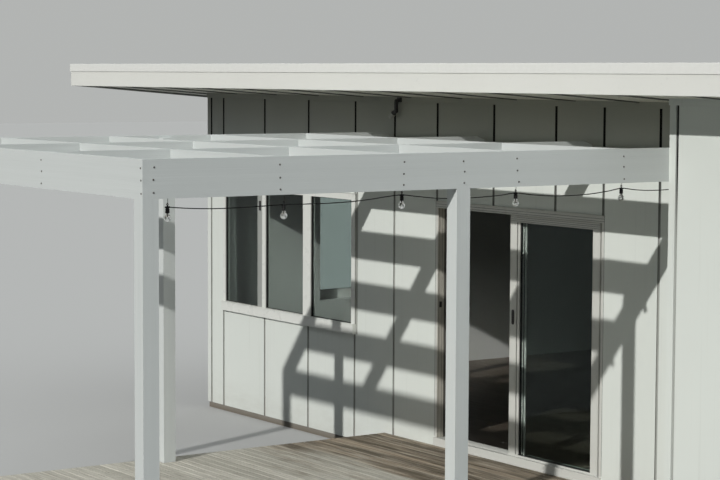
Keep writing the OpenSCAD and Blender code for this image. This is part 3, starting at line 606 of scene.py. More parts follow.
# Route in millimetres: offset from the hooks' line, distance from the wall, drop below the outlet
CABLE_ROUTE = [
    (0, -57, 0), (0, -90, -3), (0, -180, -16), (0, -320, -36), (0, -493, -48),
    (0, -665, -48), (0, -810, -38), (0, -930, -25),
    (0, -1058, -42), (0, -1228, -58), (0, -1430, -65), (0, -1633, -60), (0, -1803, -46),
    (0, -1930, -31),
    (-15, -2058, -45), (-37, -2228, -55), (-55, -2385, -58), (-55, -2505, -56),
    (-37, -2633, -48), (-15, -2803, -30), (0, -2930, -16),
    (0, -3058, -24), (0, -3190, -38), (0, -3350, -49), (0, -3530, -54), (0, -3710, -54),
    (0, -3890, -52),
    (0, -4060, -57), (0, -4220, -61), (0, -4380, -62), (0, -4530, -58), (0, -4660, -50),
    (0, -4770, -40)]
CABLE_KNOTS = [at(CABLE_X + x / 1000, y / 1000, CABLE_Z + z / 1000) for x, y, z in CABLE_ROUTE]
CABLE_STEPS = 5
LAMP_PLACES = [CABLE_KNOTS[i] for i in (7, 13, 20, 26, 32)]
# Profiles as (radius, height)
SOCKET = [(0.0085, 0.0042), (0.0105, -0.002), (0.0105, -0.01), (0.0135, -0.0125),
          (0.014, -0.015), (0.014, -0.0205), (0.0131, -0.021), (0.0131, -0.0235),
          (0.014, -0.024), (0.014, -0.0375), (0.0128, -0.0395), (0.0105, -0.0397)]
BULB_NECK = [(0.0103, -0.037), (0.0103, -0.043), (0.0122, -0.0495), (0.0172, -0.0575)]
BULB_R = 0.0232
BULB_MIDDLE = -0.0735
STEM = [(0.0035, -0.041), (0.0028, -0.064), (0.0008, -0.066)]
# Clamp round the cable, and the ring above it that the hook goes through
CLAMP = [(0, -0.017, -0.002), (0, 0, 0), (0, 0.017, -0.002)]
CLAMP_R = 0.0062
RING_RISE = 0.0165
RING_R = 0.006
RING_WIRE_R = 0.0022
RING_NECK_R = 0.0045
THREAD_R = 0.0007
THREAD_LOOP_R = 0.01
THREAD_DROP = 0.016
THREAD_TURNS = 10


def smooth_route(points, steps):
    """Points on the smooth curve through a list of points."""
    first, last = 2 * points[0] - points[1], 2 * points[-1] - points[-2]
    knots = [first, *points, last]
    route = []
    for a, b, c, d in zip(knots, knots[1:], knots[2:], knots[3:]):
        for k in range(steps):
            t = k / steps
            route.append(b + (c - a) * t / 2 + (2 * a - 5 * b + 4 * c - d) * t * t / 2
                         + (3 * b - a - 3 * c + d) * t ** 3 / 2)
    return route + [points[-1]]


def festoon_lamps():
    """Moulded sockets on the cable with hanging rings, clear bulbs and looped filaments."""
    sockets, bulbs, threads = Form(), Form(), Form()
    globe = [(BULB_R * math.cos(math.radians(a)), BULB_MIDDLE + BULB_R * math.sin(math.radians(a)))
             for a in range(30, -91, -10)]
    turns = [2 * math.pi * k / THREAD_TURNS for k in range(THREAD_TURNS + 1)]
    loop = [(THREAD_LOOP_R * math.cos(t), THREAD_LOOP_R * math.sin(t), STEM[-1][1] - THREAD_DROP * (k % 2))
            for k, t in enumerate(turns)]
    for base in LAMP_PLACES:
        sockets.lathe(SOCKET, base, sides=20)
        sockets.tube(around(base, CLAMP), CLAMP_R, 12)
        ring = circle(base + upward(RING_RISE), RING_R, Vector((0, 1, 0)), upward(1), 14)
        sockets.tube([*ring, ring[0]], RING_WIRE_R, 8)
        sockets.tube(around(base, [(0, 0, 0), (0, 0, RING_RISE - RING_R)]), RING_NECK_R, 8)
        bulbs.lathe(BULB_NECK + globe, base, sides=24)
        threads.lathe(STEM, base, sides=8)
        threads.tube(around(base, loop), THREAD_R, 5)
    return [sockets.piece("festoon_sockets", "rubber", "cable"),
            bulbs.piece("festoon_bulbs", "bulb", "lamp", replaces="festoon_lamps"),
            threads.piece("festoon_filaments", "filament", "hook")]


def festoon_cable(lamps):
    points = smooth_route(CABLE_KNOTS, CABLE_STEPS)
    curve = bpy.data.curves.new("festoon_flex", "CURVE")
    curve.dimensions = "3D"
    curve.bevel_depth = CABLE_D / 2
    curve.bevel_resolution = 3
    curve.use_fill_caps = True
    spline = curve.splines.new("POLY")
    spline.points.add(len(points) - 1)
    for knot, point in zip(spline.points, points):
        knot.co = (*point, 1.0)
    curve.materials.append(MATERIALS["rubber"])
    flex = into_scene("festoon_flex", curve)
    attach(flex, "house")
    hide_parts("festoon_cable")


HOOK_R = 0.0018
HOOK_REACH = 0.02
HOOK_CORNER_X = 0.004
HOOK_SHANK_Z = 2.82
# Round the hook's corner, from the corner, and down through the ring, from the lamp's place
HOOK_CORNER = [(0.006, 0, 0), (0.0017, 0, -0.0017), (0, 0, -0.006)]
HOOK_BEND = [(0.004, 0, 0.024), (0.0036, 0, 0.02), (0.002, 0, 0.0178), (0, 0, 0.017),
             (-0.0024, 0, 0.0178), (-0.0042, 0, 0.02), (-0.0048, 0, 0.024), (-0.0052, 0, 0.027)]
HOOK_COLLAR = [(0.004, 0), (0.004, -0.002)]


def festoon_hooks():
    """Screw hooks in the beam's side, turned down and through the lamps' rings."""
    form = Form()
    for base in LAMP_PLACES:
        shank, corner = [Vector((base.x + x, base.y, HOOK_SHANK_Z)) for x in (HOOK_REACH, HOOK_CORNER_X)]
        form.tube([shank, *around(corner, HOOK_CORNER), *around(base, HOOK_BEND)], HOOK_R, 8)
        form.lathe(HOOK_COLLAR, shank, (1, 0, 0), 10, smooth=False)
    form.piece("screw_hooks", "bolt", "hook", replaces="festoon_hooks")


OUTLET_SIZE = (0.044, 0.045, 0.086)
LID_JOINT = (0.03, 0.0315)
LID_JOINT_INSET = 0.003
OUTLET_SCREW = [(0.003, 0), (0.0026, 0.001)]
OUTLET_SCREW_X = 0.015
OUTLET_SCREW_EDGE = 0.01
GLAND = [(0.0095, 0), (0.0095, 0.004), (0.0078, 0.005), (0.0078, 0.008), (0.0052, 0.0116)]


def festoon_outlet():
    """Outlet box with a lid, two screws and a ribbed gland."""
    form = Form()
    w, d, h = OUTLET_SIZE
    middle = at(CABLE_X, 0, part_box("festoon_outlet")[1].z - h / 2)
    case = rounded(w, h, 0.006)
    joint = rounded(w - LID_JOINT_INSET, h - LID_JOINT_INSET, 0.005)
    for outline, y0, y1 in ((case, 0, LID_JOINT[0]), (joint, *LID_JOINT), (case, LID_JOINT[1], d)):
        form.bar(outline, *around(middle, [(0, -y0, 0), (0, -y1, 0)]))
    form.lathe(GLAND, at(CABLE_X, -d, CABLE_Z), (0, -1, 0), 12)
    for side in (-1, 1):
        screw = middle + Vector((side * OUTLET_SCREW_X, -d, side * (h / 2 - OUTLET_SCREW_EDGE)))
        form.lathe(OUTLET_SCREW, screw, (0, -1, 0), 10)
    form.piece("outlet_box", "plastic", "fitting", replaces="festoon_outlet")


# Deck

BOARD_W = 0.0895
BOARD_GAP = 0.005
BOARD_END_GAP = 0.003
BOARD_EDGE = 0.003
BOARD_LEAST = 0.01
WING_CLEAR = 0.004
JOIST_N = 10
JOIST_T = 0.045
POST_CLEAR = 0.005
SCREW_HEAD = [(0.0042, -0.002), (0.0042, -0.0004), (0.00147, -0.0007)]
SCREW_OFF = 0.014
SCREW_CLEAR = 0.01
PERGOLA_OUT = 4.985
PERGOLA_T = 0.045
POST_W = 0.116
POST_INNER_Y = 2.445


def board_outline(width, thick):
    """Cross-section of a deck board with eased top edges, hanging from its top face."""
    w, e = width / 2, BOARD_EDGE
    return [(-w, -thick), (w, -thick), (w, -e), (w - e * 0.3, -e * 0.3), (w - e, 0), (e - w, 0),
            (e * 0.3 - w, -e * 0.3), (-w, -e)]


def cut_board(board, holes):
    """What the posts' holes leave of a board's (x0, x1, y0, y1), as a list of the same."""
    pieces = [board]
    for hx0, hx1, hy0, hy1 in holes:
        rest = []
        for x0, x1, y0, y1 in pieces:
            if hx1 <= x0 or hx0 >= x1 or hy1 <= y0 or hy0 >= y1:
                rest.append((x0, x1, y0, y1))
                continue
            a, b = max(x0, hx0), min(x1, hx1)
            rest += [(x0, hx0, y0, y1), (hx1, x1, y0, y1), (a, b, y0, hy0), (a, b, hy1, y1)]
        pieces = [p for p in rest if min(p[1] - p[0], p[3] - p[2]) > BOARD_LEAST]
    return pieces


def post_holes():
    holes = []
    for node in ("near_posts", "far_posts"):
        low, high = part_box(node)
        x = high.x - POST_W if node == "near_posts" else low.x
        for y in (FRONT_Y - PERGOLA_OUT, FRONT_Y - POST_INNER_Y - POST_W / 2):
            far = POST_W + POST_CLEAR
            holes.append((x - POST_CLEAR, x + far, y - POST_CLEAR, y + far))
    return holes


def deck_boards():
    """Boards along the house, each row in two lengths that meet over a joist."""
    low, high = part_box("deck_boards")
    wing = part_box("cladding_wing")[0]
    rows = round((high.y - low.y + BOARD_GAP) / (BOARD_W + BOARD_GAP))
    pitch = (high.y - low.y + BOARD_GAP) / rows
    width = pitch - BOARD_GAP
    joist_low, joist_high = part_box("deck_joists")
    joists = evenly(joist_low.x + JOIST_T / 2, joist_high.x - JOIST_T / 2, JOIST_N)
    holes = post_holes()
    chance = random.Random(7)
    boards, screws = Form(), Form()
    for row in range(rows):
        y0 = low.y + row * pitch
        y1 = y0 + width
        x1 = wing.x - WING_CLEAR if y1 > wing.y - WING_CLEAR else high.x
        joint = joists[chance.randrange(2, JOIST_N - 2)]
        for a, b in ((low.x, joint - BOARD_END_GAP / 2), (joint + BOARD_END_GAP / 2, x1)):
            boards.tone = chance.random()
            top = high.z + chance.uniform(-0.0012, 0.0)
            for px0, px1, py0, py1 in cut_board((a, b, y0, y1), holes):
                y = (py0 + py1) / 2
                boards.bar(board_outline(py1 - py0, top - low.z), (px0, y, top), (px1, y, top), (0, 1, 0))
        deck_screws(screws, [x for x in joists if x <= x1], (y0 + y1) / 2, width, joint, high.z, holes)
    boards.piece("deck_planks", "deck", "deck", replaces="deck_boards")
    screws.piece("deck_screws", "zinc", "hook")


def deck_screws(screws, joists, y, width, joint, top, holes):
    """Two screws a board over each joist, and two more where two boards meet."""
    c = SCREW_CLEAR
    for joist in joists:
        for x in (joist - SCREW_OFF, joist + SCREW_OFF) if joist == joint else (joist,):
            for sy in (y - width * 0.28, y + width * 0.28):
                if not any(h[0] - c < x < h[1] + c and h[2] - c < sy < h[3] + c for h in holes):
                    screws.lathe(SCREW_HEAD, (x, sy, top), sides=7)


# Pergola fixings

ROW_FIRST = 0.985
ROW_STEP = 1.0
ROW_N = 4
RAFTER_STEP = 1.437
BAYS = 3
BOLT = [(0.007, 0), (0.00644, 0.0021), (0.00385, 0.00294), (0.00035, 0.00322)]
BOLT_UP = (0.197, 0.119, 0.035)
LEDGER_BOLT_UP = (0.05, 0.155)
LEDGER_BOLT_END = 0.16


def pergola_bolts():
    """Three heads at the end of every cross member, and more through beams and posts."""
    form = Form()
    chance = random.Random(3)
    beam_low, beam_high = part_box("near_beam")
    rows = [ROW_FIRST + i * ROW_STEP - PERGOLA_T / 2 for i in range(ROW_N)]
    posts = [POST_INNER_Y, PERGOLA_OUT - POST_W / 2 - PERGOLA_T / 2]
    for x, side in ((beam_high.x, 1), (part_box("far_beam")[0].x, -1)):
        for depth in rows + posts:
            for up in BOLT_UP:
                y = FRONT_Y - depth + chance.uniform(-0.01, 0.01)
                z = beam_low.z + up + chance.uniform(-0.006, 0.006)
                form.lathe(BOLT, (x, y, z), (side, 0, 0), 10)
    low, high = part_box("outer_beam")
    for i in range(BAYS + 1):
        for up in BOLT_UP:
            x = high.x - PERGOLA_T / 2 - i * RAFTER_STEP + chance.uniform(-0.006, 0.006)
            form.lathe(BOLT, (x, low.y, low.z + up), (0, -1, 0), 10)
    low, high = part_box("wall_ledger")
    for x in evenly(low.x + LEDGER_BOLT_END, high.x - LEDGER_BOLT_END, 2 * BAYS + 1):
        for up in LEDGER_BOLT_UP:
            form.lathe(BOLT, (x, low.y, low.z + up), (0, -1, 0), 10)
    form.piece("pergola_bolts", "bolt", "hook")


# Roof and eaves

RAFTER_N = 18
RAFTER_T = 0.045
BATTEN_W = 0.042
BATTEN_T = 0.01
BATTEN_EDGE = 0.002
ROOF_SHEET_OFF = 0.1814
RIB_PITCH = 0.0762
RIB_H = 0.0165
RIB_STEPS = 6
ROOF_METAL_T = 0.001
SHEET_RIBS = 10
SHEET_LAP = 0.0012
SCREW_ROWS = 8
SCREW_ROW_END = 0.15
ROOF_SCREW = [(0.006, -0.001), (0.006, 0.0005), (0.003, 0.001), (0.003, 0.0022)]


def eaves_battens():
    """Flat battens under each rafter over the joints of the eaves lining, near black as painted shade lines.
    """
    form = Form()
    front, back = FASCIA_T - FRONT_OVERHANG, HOUSE_D + BACK_OVERHANG - FASCIA_T
    w, t, e = BATTEN_W / 2, BATTEN_T, BATTEN_EDGE
    outline = [(-w, 0), (-w, e - t), (e - w, -t), (w - e, -t), (w, e - t), (w, 0)]
    first = -SIDE_OVERHANG + FASCIA_T + RAFTER_T / 2
    for x in evenly(first, HOUSE_L - first, RAFTER_N):
        wall_y = -WING_PROJ - TRIM_T if x > MAIN_L - BATTEN_W else -TRIM_T
        over_house = -BATTEN_W < x < HOUSE_L + BATTEN_W
        for y0, y1 in [(front, wall_y), (HOUSE_D + TRIM_T, back)] if over_house else [(front, back)]:
            form.bar(outline, at(x, y0, lining_z(y0)), at(x, y1, lining_z(y1)))
    form.piece("eaves_battens", "batten", "lining")


def rib_outline(ribs):
    """Closed outline of a corrugated sheet, from its first crest, ribs wide."""
    line = [(k * RIB_PITCH / RIB_STEPS, RIB_H / 2 * (1 + math.cos(2 * math.pi * k / RIB_STEPS)))
            for k in range(ribs * RIB_STEPS + 1)]
    return [(x, z + ROOF_METAL_T) for x, z in line] + line[::-1]


def roof_sheets():
    """Corrugated sheets side by side, lapped over the gutter, with screws in rows."""
    low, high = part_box("roof_sheet")
    y0, y1 = low.y - FRONT_Y, high.y - FRONT_Y
    rib_n = int((high.x - low.x) / RIB_PITCH)
    left = (low.x + high.x - rib_n * RIB_PITCH) / 2 - LEFT_X
    form, screws = Form(), Form()
    for first in range(0, rib_n, SHEET_RIBS):
        ribs = min(SHEET_RIBS, rib_n - first)
        x = left + first * RIB_PITCH
        off = ROOF_SHEET_OFF + SHEET_LAP * (first // SHEET_RIBS % 2)
        form.bar(rib_outline(ribs), at(x, y0, lining_z(y0) + off), at(x, y1, lining_z(y1) + off))
        for y in evenly(y0 + SCREW_ROW_END, y1 - SCREW_ROW_END, SCREW_ROWS):
            top = lining_z(y) + off + RIB_H + ROOF_METAL_T
            for rib in range(0, ribs, 2):
                screws.lathe(ROOF_SCREW, at(x + rib * RIB_PITCH, y, top), sides=6, smooth=False)
    form.piece("corrugated_roof", "roof", "roof", replaces="roof_sheet")
    screws.piece("roof_screws", "zinc", "hook")


CAP_T = 0.008
CAP_H = 0.079
CAP_TOP_W = 0.09
CAP_OFF = 0.2148 - CAP_H
CAP_METAL_T = 0.002
CAP_HEM = 0.006
CAP_SHEET_L = 3.35
CAP_LAP = [(-0.02, 0, 0), (0.02, 0, 0)]
CAP_LAP_T = 0.0008


def cap_outline(side):
    """Cross-section of the folded capping: a face with a hem, a top leaf and a back lip.
    The face stands out on the given side of the board."""
    t, h, w = CAP_METAL_T, CAP_H, CAP_TOP_W
    points = [(0, 0), (0, h - 0.003), (0.003, h), (w - 0.004, h), (w, h - 0.006), (w - t, h - 0.007),
              (w - 0.005, h - t), (CAP_T, h - t), (CAP_T, h - 2 * t), (t, h - 2 * t), (t, CAP_HEM),
              (CAP_T - 0.0005, CAP_HEM), (CAP_T - 0.0005, 0)]
    return [(side * a, b) for a, b in points]


def roof_capping():
    """Folded capping over the fascia and the end boards, in lengths with lapped joints."""
    form = Form()
    x0, x1 = -SIDE_OVERHANG, HOUSE_L + SIDE_OVERHANG
    y0, y1 = -FRONT_OVERHANG, HOUSE_D + BACK_OVERHANG
    z, e = lining_z(y0) + CAP_OFF, CAP_LAP_T
    form.bar(cap_outline(1), at(x0 - CAP_T, y0 - CAP_T, z), at(x1 + CAP_T, y0 - CAP_T, z), (0, 1, 0))
    lap = [(-e, 0.001), (-e, CAP_H + e), (CAP_TOP_W - 0.01, CAP_H + e),
           (CAP_TOP_W - 0.01, CAP_H - 0.001), (0.001, CAP_H - 0.001), (0.001, 0.001)]
    for x in evenly(x0, x1, round((x1 - x0) / CAP_SHEET_L) + 1)[1:-1]:
        form.bar(lap, *around(at(x, y0 - CAP_T, z), CAP_LAP), (0, 1, 0))
    y0 += 0.002
    for x, side in ((x0 - CAP_T, 1), (x1 + CAP_T, -1)):
        form.bar(cap_outline(side), at(x, y0, lining_z(y0) + CAP_OFF), at(x, y1, lining_z(y1) + CAP_OFF))
    form.piece("folded_capping", "capping", "capping", replaces="roof_capping")


GUTTER_W = 0.12
GUTTER_H = 0.09
GUTTER_METAL_T = 0.002
GUTTER_FOLD = 0.008
GUTTER_LIP_R = 0.006
GUTTER_STRAPS = 12
STRAP_W = 0.02
STRAP_END = 0.35


def rear_gutter():
    """Square gutter with a rolled front lip, stop ends and straps."""
    low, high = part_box("rear_gutter")
    t, w, h, r, f = GUTTER_METAL_T, GUTTER_W, GUTTER_H, GUTTER_LIP_R, GUTTER_FOLD
    form = Form()
    trough = [(0, h), (0, 0), (w - f, 0), (w, f), (w, h - 2 * r), (w - t, h - 2 * r),
              (w - t, f + t / 2), (w - f - t / 2, t), (t, t), (t, h)]
    roll = [(w - r + r * math.cos(a), h - r + r * math.sin(a))
            for a in (math.radians(d) for d in range(0, 360, 30))]
    end = [(t, t), (w - 0.009, t), (w - t, 0.009), (w - t, h - r), (t, h - 0.004)]
    for outline, x0, x1 in ((trough, low.x, high.x), (roll, low.x, high.x), (end, low.x, low.x + t),
                            (end, high.x - t, high.x)):
        form.bar(outline, (x0, low.y, low.z), (x1, low.y, low.z), (0, 1, 0))
    for x in evenly(low.x + STRAP_END, high.x - STRAP_END, GUTTER_STRAPS):
        form.box((x - STRAP_W / 2, low.y + t, high.z - 0.004), (x + STRAP_W / 2, high.y - r, high.z - 0.002))
    form.piece("rolled_gutter", "gutter", "rainwater", replaces="rear_gutter")


PIPE_R = 0.04
PIPE_SIDE_GAP = 0.4
PIPE_WALL_GAP = 0.03
PIPE_SLANT = math.radians(60)
PIPE_BEND = 0.05
ELBOW_BELOW = 0.033
CLIP_H = 0.03
# Profiles as (distance off the pipe, along it)
ELBOW_COLLAR = [(0.002, 0.052), (0.004, 0.054), (0.004, 0.066), (0.001, 0.068)]
PIPE_TOP = [(0.01, 0), (0.004, -0.012), (0.001, -0.03)]
PIPE_CLIP = [(0, 0), (0.003, 0.001), (0.003, CLIP_H - 0.001), (0, CLIP_H)]


def bend(corner, before, after, steps=6):
    """Points that round a corner between two directions."""
    a, b = [(end - corner).normalized() * PIPE_BEND for end in (before, after)]
    return [corner + a * (1 - t) ** 2 + b * t ** 2 for t in (k / steps for k in range(steps + 1))]


def downpipes():
    """Two pipes from the gutter back to the wall, with elbows, collars and clips."""
    form = Form()

    def sleeve(profile, base, axis=(0, 0, 1)):
        form.lathe([(PIPE_R + off, along) for off, along in profile], base, axis, 24)

    wall_y = HOUSE_D + TRIM_T + PIPE_WALL_GAP + PIPE_R
    back_y = HOUSE_D + BACK_OVERHANG
    out_y = back_y + GUTTER_W / 2
    upper_z = lining_z(back_y) - PIPE_R - ELBOW_BELOW
    lower_z = upper_z - (out_y - wall_y) / math.tan(PIPE_SLANT)
    for x in (PIPE_SIDE_GAP, HOUSE_L - PIPE_SIDE_GAP):
        top, upper = at(x, out_y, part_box("rear_gutter")[0].z), at(x, out_y, upper_z)
        lower, foot = at(x, wall_y, lower_z), at(x, wall_y, 0.0)
        form.tube([top, *bend(upper, top, lower), *bend(lower, upper, foot), foot], PIPE_R, 24)
        for corner, other in ((upper, top), (upper, lower), (lower, upper), (lower, foot)):
            sleeve(ELBOW_COLLAR, corner, other - corner)
        sleeve(PIPE_TOP, top)
        for z in (lower_z / 4, lower_z * 3 / 4):
            sleeve(PIPE_CLIP, at(x, wall_y, z))
            form.box(at(x - CLIP_H / 2, HOUSE_D, z), at(x + CLIP_H / 2, wall_y - PIPE_R, z + CLIP_H))
    form.piece("rain_pipes", "gutter", "rainwater", replaces="downpipes")


# Windows

WIN_X = 0.355
WIN_Z0 = 1.09
WIN_Z1 = 2.45
WIN_STILES = (0.05, 0.067, 0.143, 0.062)
WIN_PANES = (0.741, 0.713, 0.724)
WIN_PROUD = 0.018
PANE_Z = (WIN_Z0 + 0.1, WIN_Z1 - 0.06)
GLASS_Y = 0.025 - WIN_PROUD
GLASS_T = 0.006
BOARD_PROUD = 0.04
GASKET_W = 0.005
GASKET_BACK_W = 0.004
GASKET_OUT = 0.004
HAIR = 0.0002
PLAIN_W = 1.7
PLAIN_STILES = (0.06, 0.08, 0.06)
PLAIN_LEFT_X = 3.35
PLAIN_RIGHT_X = 2.4
PLAIN_BACK_X = (1.5, 8.0)
SASH_STILE_W = 0.112
SASH_LIP_W = 0.01
CATCH_X = (-0.075, -0.045)
CATCH_Z = (-0.2, -0.1)
LINER_T = 0.002
LINER_FRONT = -0.008
SEAL_STRIP_W = 0.026


class Wall:
    """Axes of one wall: along it, into the house and up."""

    def __init__(self, corner, along, inward):
        self.corner, self.along, self.inward = corner, Vector(along), Vector(inward)

    def point(self, x, y, z):
        return self.corner + x * self.along + y * self.inward + upward(z)

    def blocks(self, form, *spans):
        """Boxes of (start, end) along the wall, into the house and up."""
        for (x0, x1), (y0, y1), (z0, z1) in spans:
            ends = list(zip(self.point(x0, y0, z0), self.point(x1, y1, z1)))
            form.box([min(p) for p in ends], [max(p) for p in ends])

    def pane_frame(self, form, x, y, z, w):
        """Four strips of width w round the inside of an opening."""
        across = (x[0] + w, x[1] - w)
        self.blocks(form, ((x[0], x[0] + w), y, z), ((x[1] - w, x[1]), y, z),
                    (across, y, (z[0], z[0] + w)), (across, y, (z[1] - w, z[1])))


FRONT = Wall(at(0, 0, 0), (1, 0, 0), (0, 1, 0))
WING = Wall(at(MAIN_L, -WING_PROJ, 0), (1, 0, 0), (0, 1, 0))
BACK = Wall(at(HOUSE_L, HOUSE_D, 0), (-1, 0, 0), (0, -1, 0))
LEFT = Wall(at(0, HOUSE_D, 0), (0, -1, 0), (1, 0, 0))
RIGHT = Wall(at(HOUSE_L, -WING_PROJ, 0), (0, 1, 0), (-1, 0, 0))


def window_panes(x, stiles, panes):
    """Left and right edge of each pane of a window whose frame starts at x."""
    edges = []
    for stile, pane in zip(stiles, panes):
        x += stile
        edges.append((x, x + pane))
        x += pane
    return edges


def window_fittings(gaskets, beads, wall, x, stiles, panes):
    """Gaskets on both sides of the glass, a flashing on top and a drip on the bottom board."""
    back = GLASS_Y + GLASS_T
    for pane in window_panes(x, stiles, panes):
        wall.pane_frame(gaskets, pane, (GLASS_Y - GASKET_OUT, GLASS_Y - HAIR), PANE_Z, GASKET_W)
        wall.pane_frame(gaskets, pane, (back + HAIR, back + GASKET_OUT), PANE_Z, GASKET_BACK_W)
    end = x + sum(stiles) + sum(panes)
    wall.blocks(beads,
                ((x - 0.006, end + 0.006), (-WIN_PROUD - 0.01, 0.004), (WIN_Z1 + 0.0005, WIN_Z1 + 0.004)),
                ((x + 0.002, end - 0.002), (-BOARD_PROUD - 0.006, -BOARD_PROUD + 0.001),
                 (PANE_Z[0] - 0.012, PANE_Z[0] - 0.001)))


def front_sash(edge):
    """The sliding sash at the edge of the front window's left pane, in a grey that is painted shade, and its
    catch.
    """
    sash, catch = Form(), Form()
    stile = edge - SASH_STILE_W
    FRONT.blocks(sash, ((stile, edge - 0.002), span(GLASS_Y, (-0.009, -0.0003)), PANE_Z),
                 ((stile - SASH_LIP_W, stile), span(GLASS_Y, (-0.005, -0.0003)), PANE_Z))
    FRONT.blocks(catch, (span(edge, CATCH_X), span(GLASS_Y, (-0.021, -0.009)), span(PANE_Z[1], CATCH_Z)))
    sash.piece("window_sash", "sash", "window_frame", bevel=0.001)
    catch.piece("window_catch", "plastic", "fitting", bevel=0.003)


def windows():
    """Fittings of all windows; the front one also has black liners, a sash and a seal beside it."""
    gaskets, beads, joint = Form(), Form(), Form()
    window_fittings(gaskets, beads, FRONT, WIN_X, WIN_STILES, WIN_PANES)
    panes = window_panes(WIN_X, WIN_STILES, WIN_PANES)
    liner_back, right = GLASS_Y - GASKET_OUT, panes[2][1] + WIN_STILES[3]
    FRONT.blocks(gaskets, (panes[2], (-WIN_PROUD + 0.002, liner_back), span(PANE_Z[0], (0, LINER_T))),
                 *[(span(pane[0], (0, LINER_T)), (LINER_FRONT, liner_back), PANE_Z) for pane in panes])
    # The strip beside the window takes the groove finish, with its painted shade towards the top
    FRONT.blocks(joint, ((right, right + LINER_T), (-WIN_PROUD + 0.004, -0.0005), (PANE_Z[0], WIN_Z1)),
                 ((right + LINER_T, right + SEAL_STRIP_W), (-0.003, 0.001), (WIN_Z0, WIN_Z1 + 0.02)))
    plain_pane = (PLAIN_W - sum(PLAIN_STILES)) / 2
    plain = [(WING, (HOUSE_L - MAIN_L - PLAIN_W) / 2), (LEFT, PLAIN_LEFT_X), (RIGHT, PLAIN_RIGHT_X)]
    for wall, x in plain + [(BACK, x) for x in PLAIN_BACK_X]:
        window_fittings(gaskets, beads, wall, x, PLAIN_STILES, (plain_pane, plain_pane))
    gaskets.piece("window_gaskets", "gasket", "fitting")
    beads.piece("window_beads", "window", "window_frame", bevel=0.001)
    front_sash(panes[0][1])
    joint.piece("window_joint_strip", "groove", "trim")


# Door

DOOR_X = 4.147
DOOR_END = DOOR_X + 2.331
JAMB_T = 0.03
HEAD_Z = SILL_Z + 2.1
DOOR_DEPTH = 0.112
LEAF_W = 1.188
LEAF_T = 0.038
STILE_W = 0.091
RAIL_H = 0.058
TRACK_Z = SILL_Z - 0.063
LIP_DROP = 0.014
LEAF_OPEN_X = 5.212
LEAF_BACK = 0.024
LEAF_CLEAR = 0.005
FIXED_X = DOOR_END - JAMB_T - LEAF_W
FIXED_BACK = LEAF_BACK + LEAF_T + LEAF_CLEAR
SILL_PROUD = 0.015
# Raised lines down a leaf, from its edge
LINES_X = (0.01, STILE_W - 0.012, LEAF_W - STILE_W + 0.008, LEAF_W - 0.014)
LINE_W = 0.004
# Beads and seals beside the glass, from the stile, and the pile strip on the fixed leaf's stile
LEAF_BEAD_X = (0.009, 0.036)
FIXED_SEAL_X = (0.0, 0.016)
FIXED_BEAD_X = (0.016, 0.027)
PILE_X = (0.012, 0.084)
# Black lines painted as the shade in grooves, down from the sliding leaf's top and up from the door's head
RAIL_SHADE_LINES = (0.014, 0.03, 0.046)
HEAD_SHADE_LINES = (0.012, 0.034)
# Width of the black strips painted as the shadow lines of the gaps beside the door frame
SHADOW_LINE_W = 0.003
CASING_H = 0.06
JAMB_BEIGE_D = 0.074
JAMB_FINS_Y = (0.0045, 0.0175, 0.058)
JAMB_SLOTS_Y = (0.0125, 0.05)
KEEP_Z = (1.187, 1.241)


def leaf_trim(gaskets, edges, x, y, z0, z1):
    """Black strips on both faces of a leaf's glass, and raised lines down its stiles."""
    front = y + (LEAF_T - GLASS_T) / 2
    glass_z = (z0 + RAIL_H, z1 - RAIL_H)
    for strip in ((front - 0.008, front - HAIR), span(front + GLASS_T, (HAIR, 0.008))):
        FRONT.pane_frame(gaskets, (x + STILE_W, x + LEAF_W - STILE_W), strip, glass_z, GASKET_W)
    FRONT.blocks(edges, *[(span(x + a, (0, LINE_W)), (y - 0.0015, y + 0.001), (z0 + 0.004, z1 - 0.004))
                          for a in LINES_X])


def sliding_leaf():
    """Gaskets, edge seal, raised lines and bead of the leaf that moves, and black lines on its top rail
    painted as the shade in grooves.
    """
    gaskets, edges = Form(), Form()
    z0, z1 = TRACK_Z + LEAF_CLEAR, HEAD_Z - LEAF_CLEAR
    leaf_trim(gaskets, edges, LEAF_OPEN_X, LEAF_BACK, z0, z1)
    x0, x1 = LEAF_OPEN_X, LEAF_OPEN_X + LEAF_W
    FRONT.blocks(gaskets, ((x0 - 0.0004, x0), span(LEAF_BACK, (0.012, 0.026)), (z0 + 0.01, z1 - 0.01)))
    # Painted shade: black lines across the top rail stand for the shade in grooves
    FRONT.blocks(gaskets, *[((x0 + 0.002, x1 - 0.002), span(LEAF_BACK, (-0.0006, 0.0006)),
                             (z1 - down - 0.0025, z1 - down)) for down in RAIL_SHADE_LINES])
    bead_y = span(LEAF_BACK + (LEAF_T - GLASS_T) / 2, (-0.012, -0.0003))
    FRONT.blocks(edges, (span(x0 + STILE_W, LEAF_BEAD_X), bead_y, (z0 + RAIL_H, z1 - RAIL_H)))
    gaskets.piece("sliding_leaf_gaskets", "gasket", "fitting", body="sliding_door")
    edges.piece("sliding_leaf_edges", "door", "door_frame", body="sliding_door", bevel=0.001)


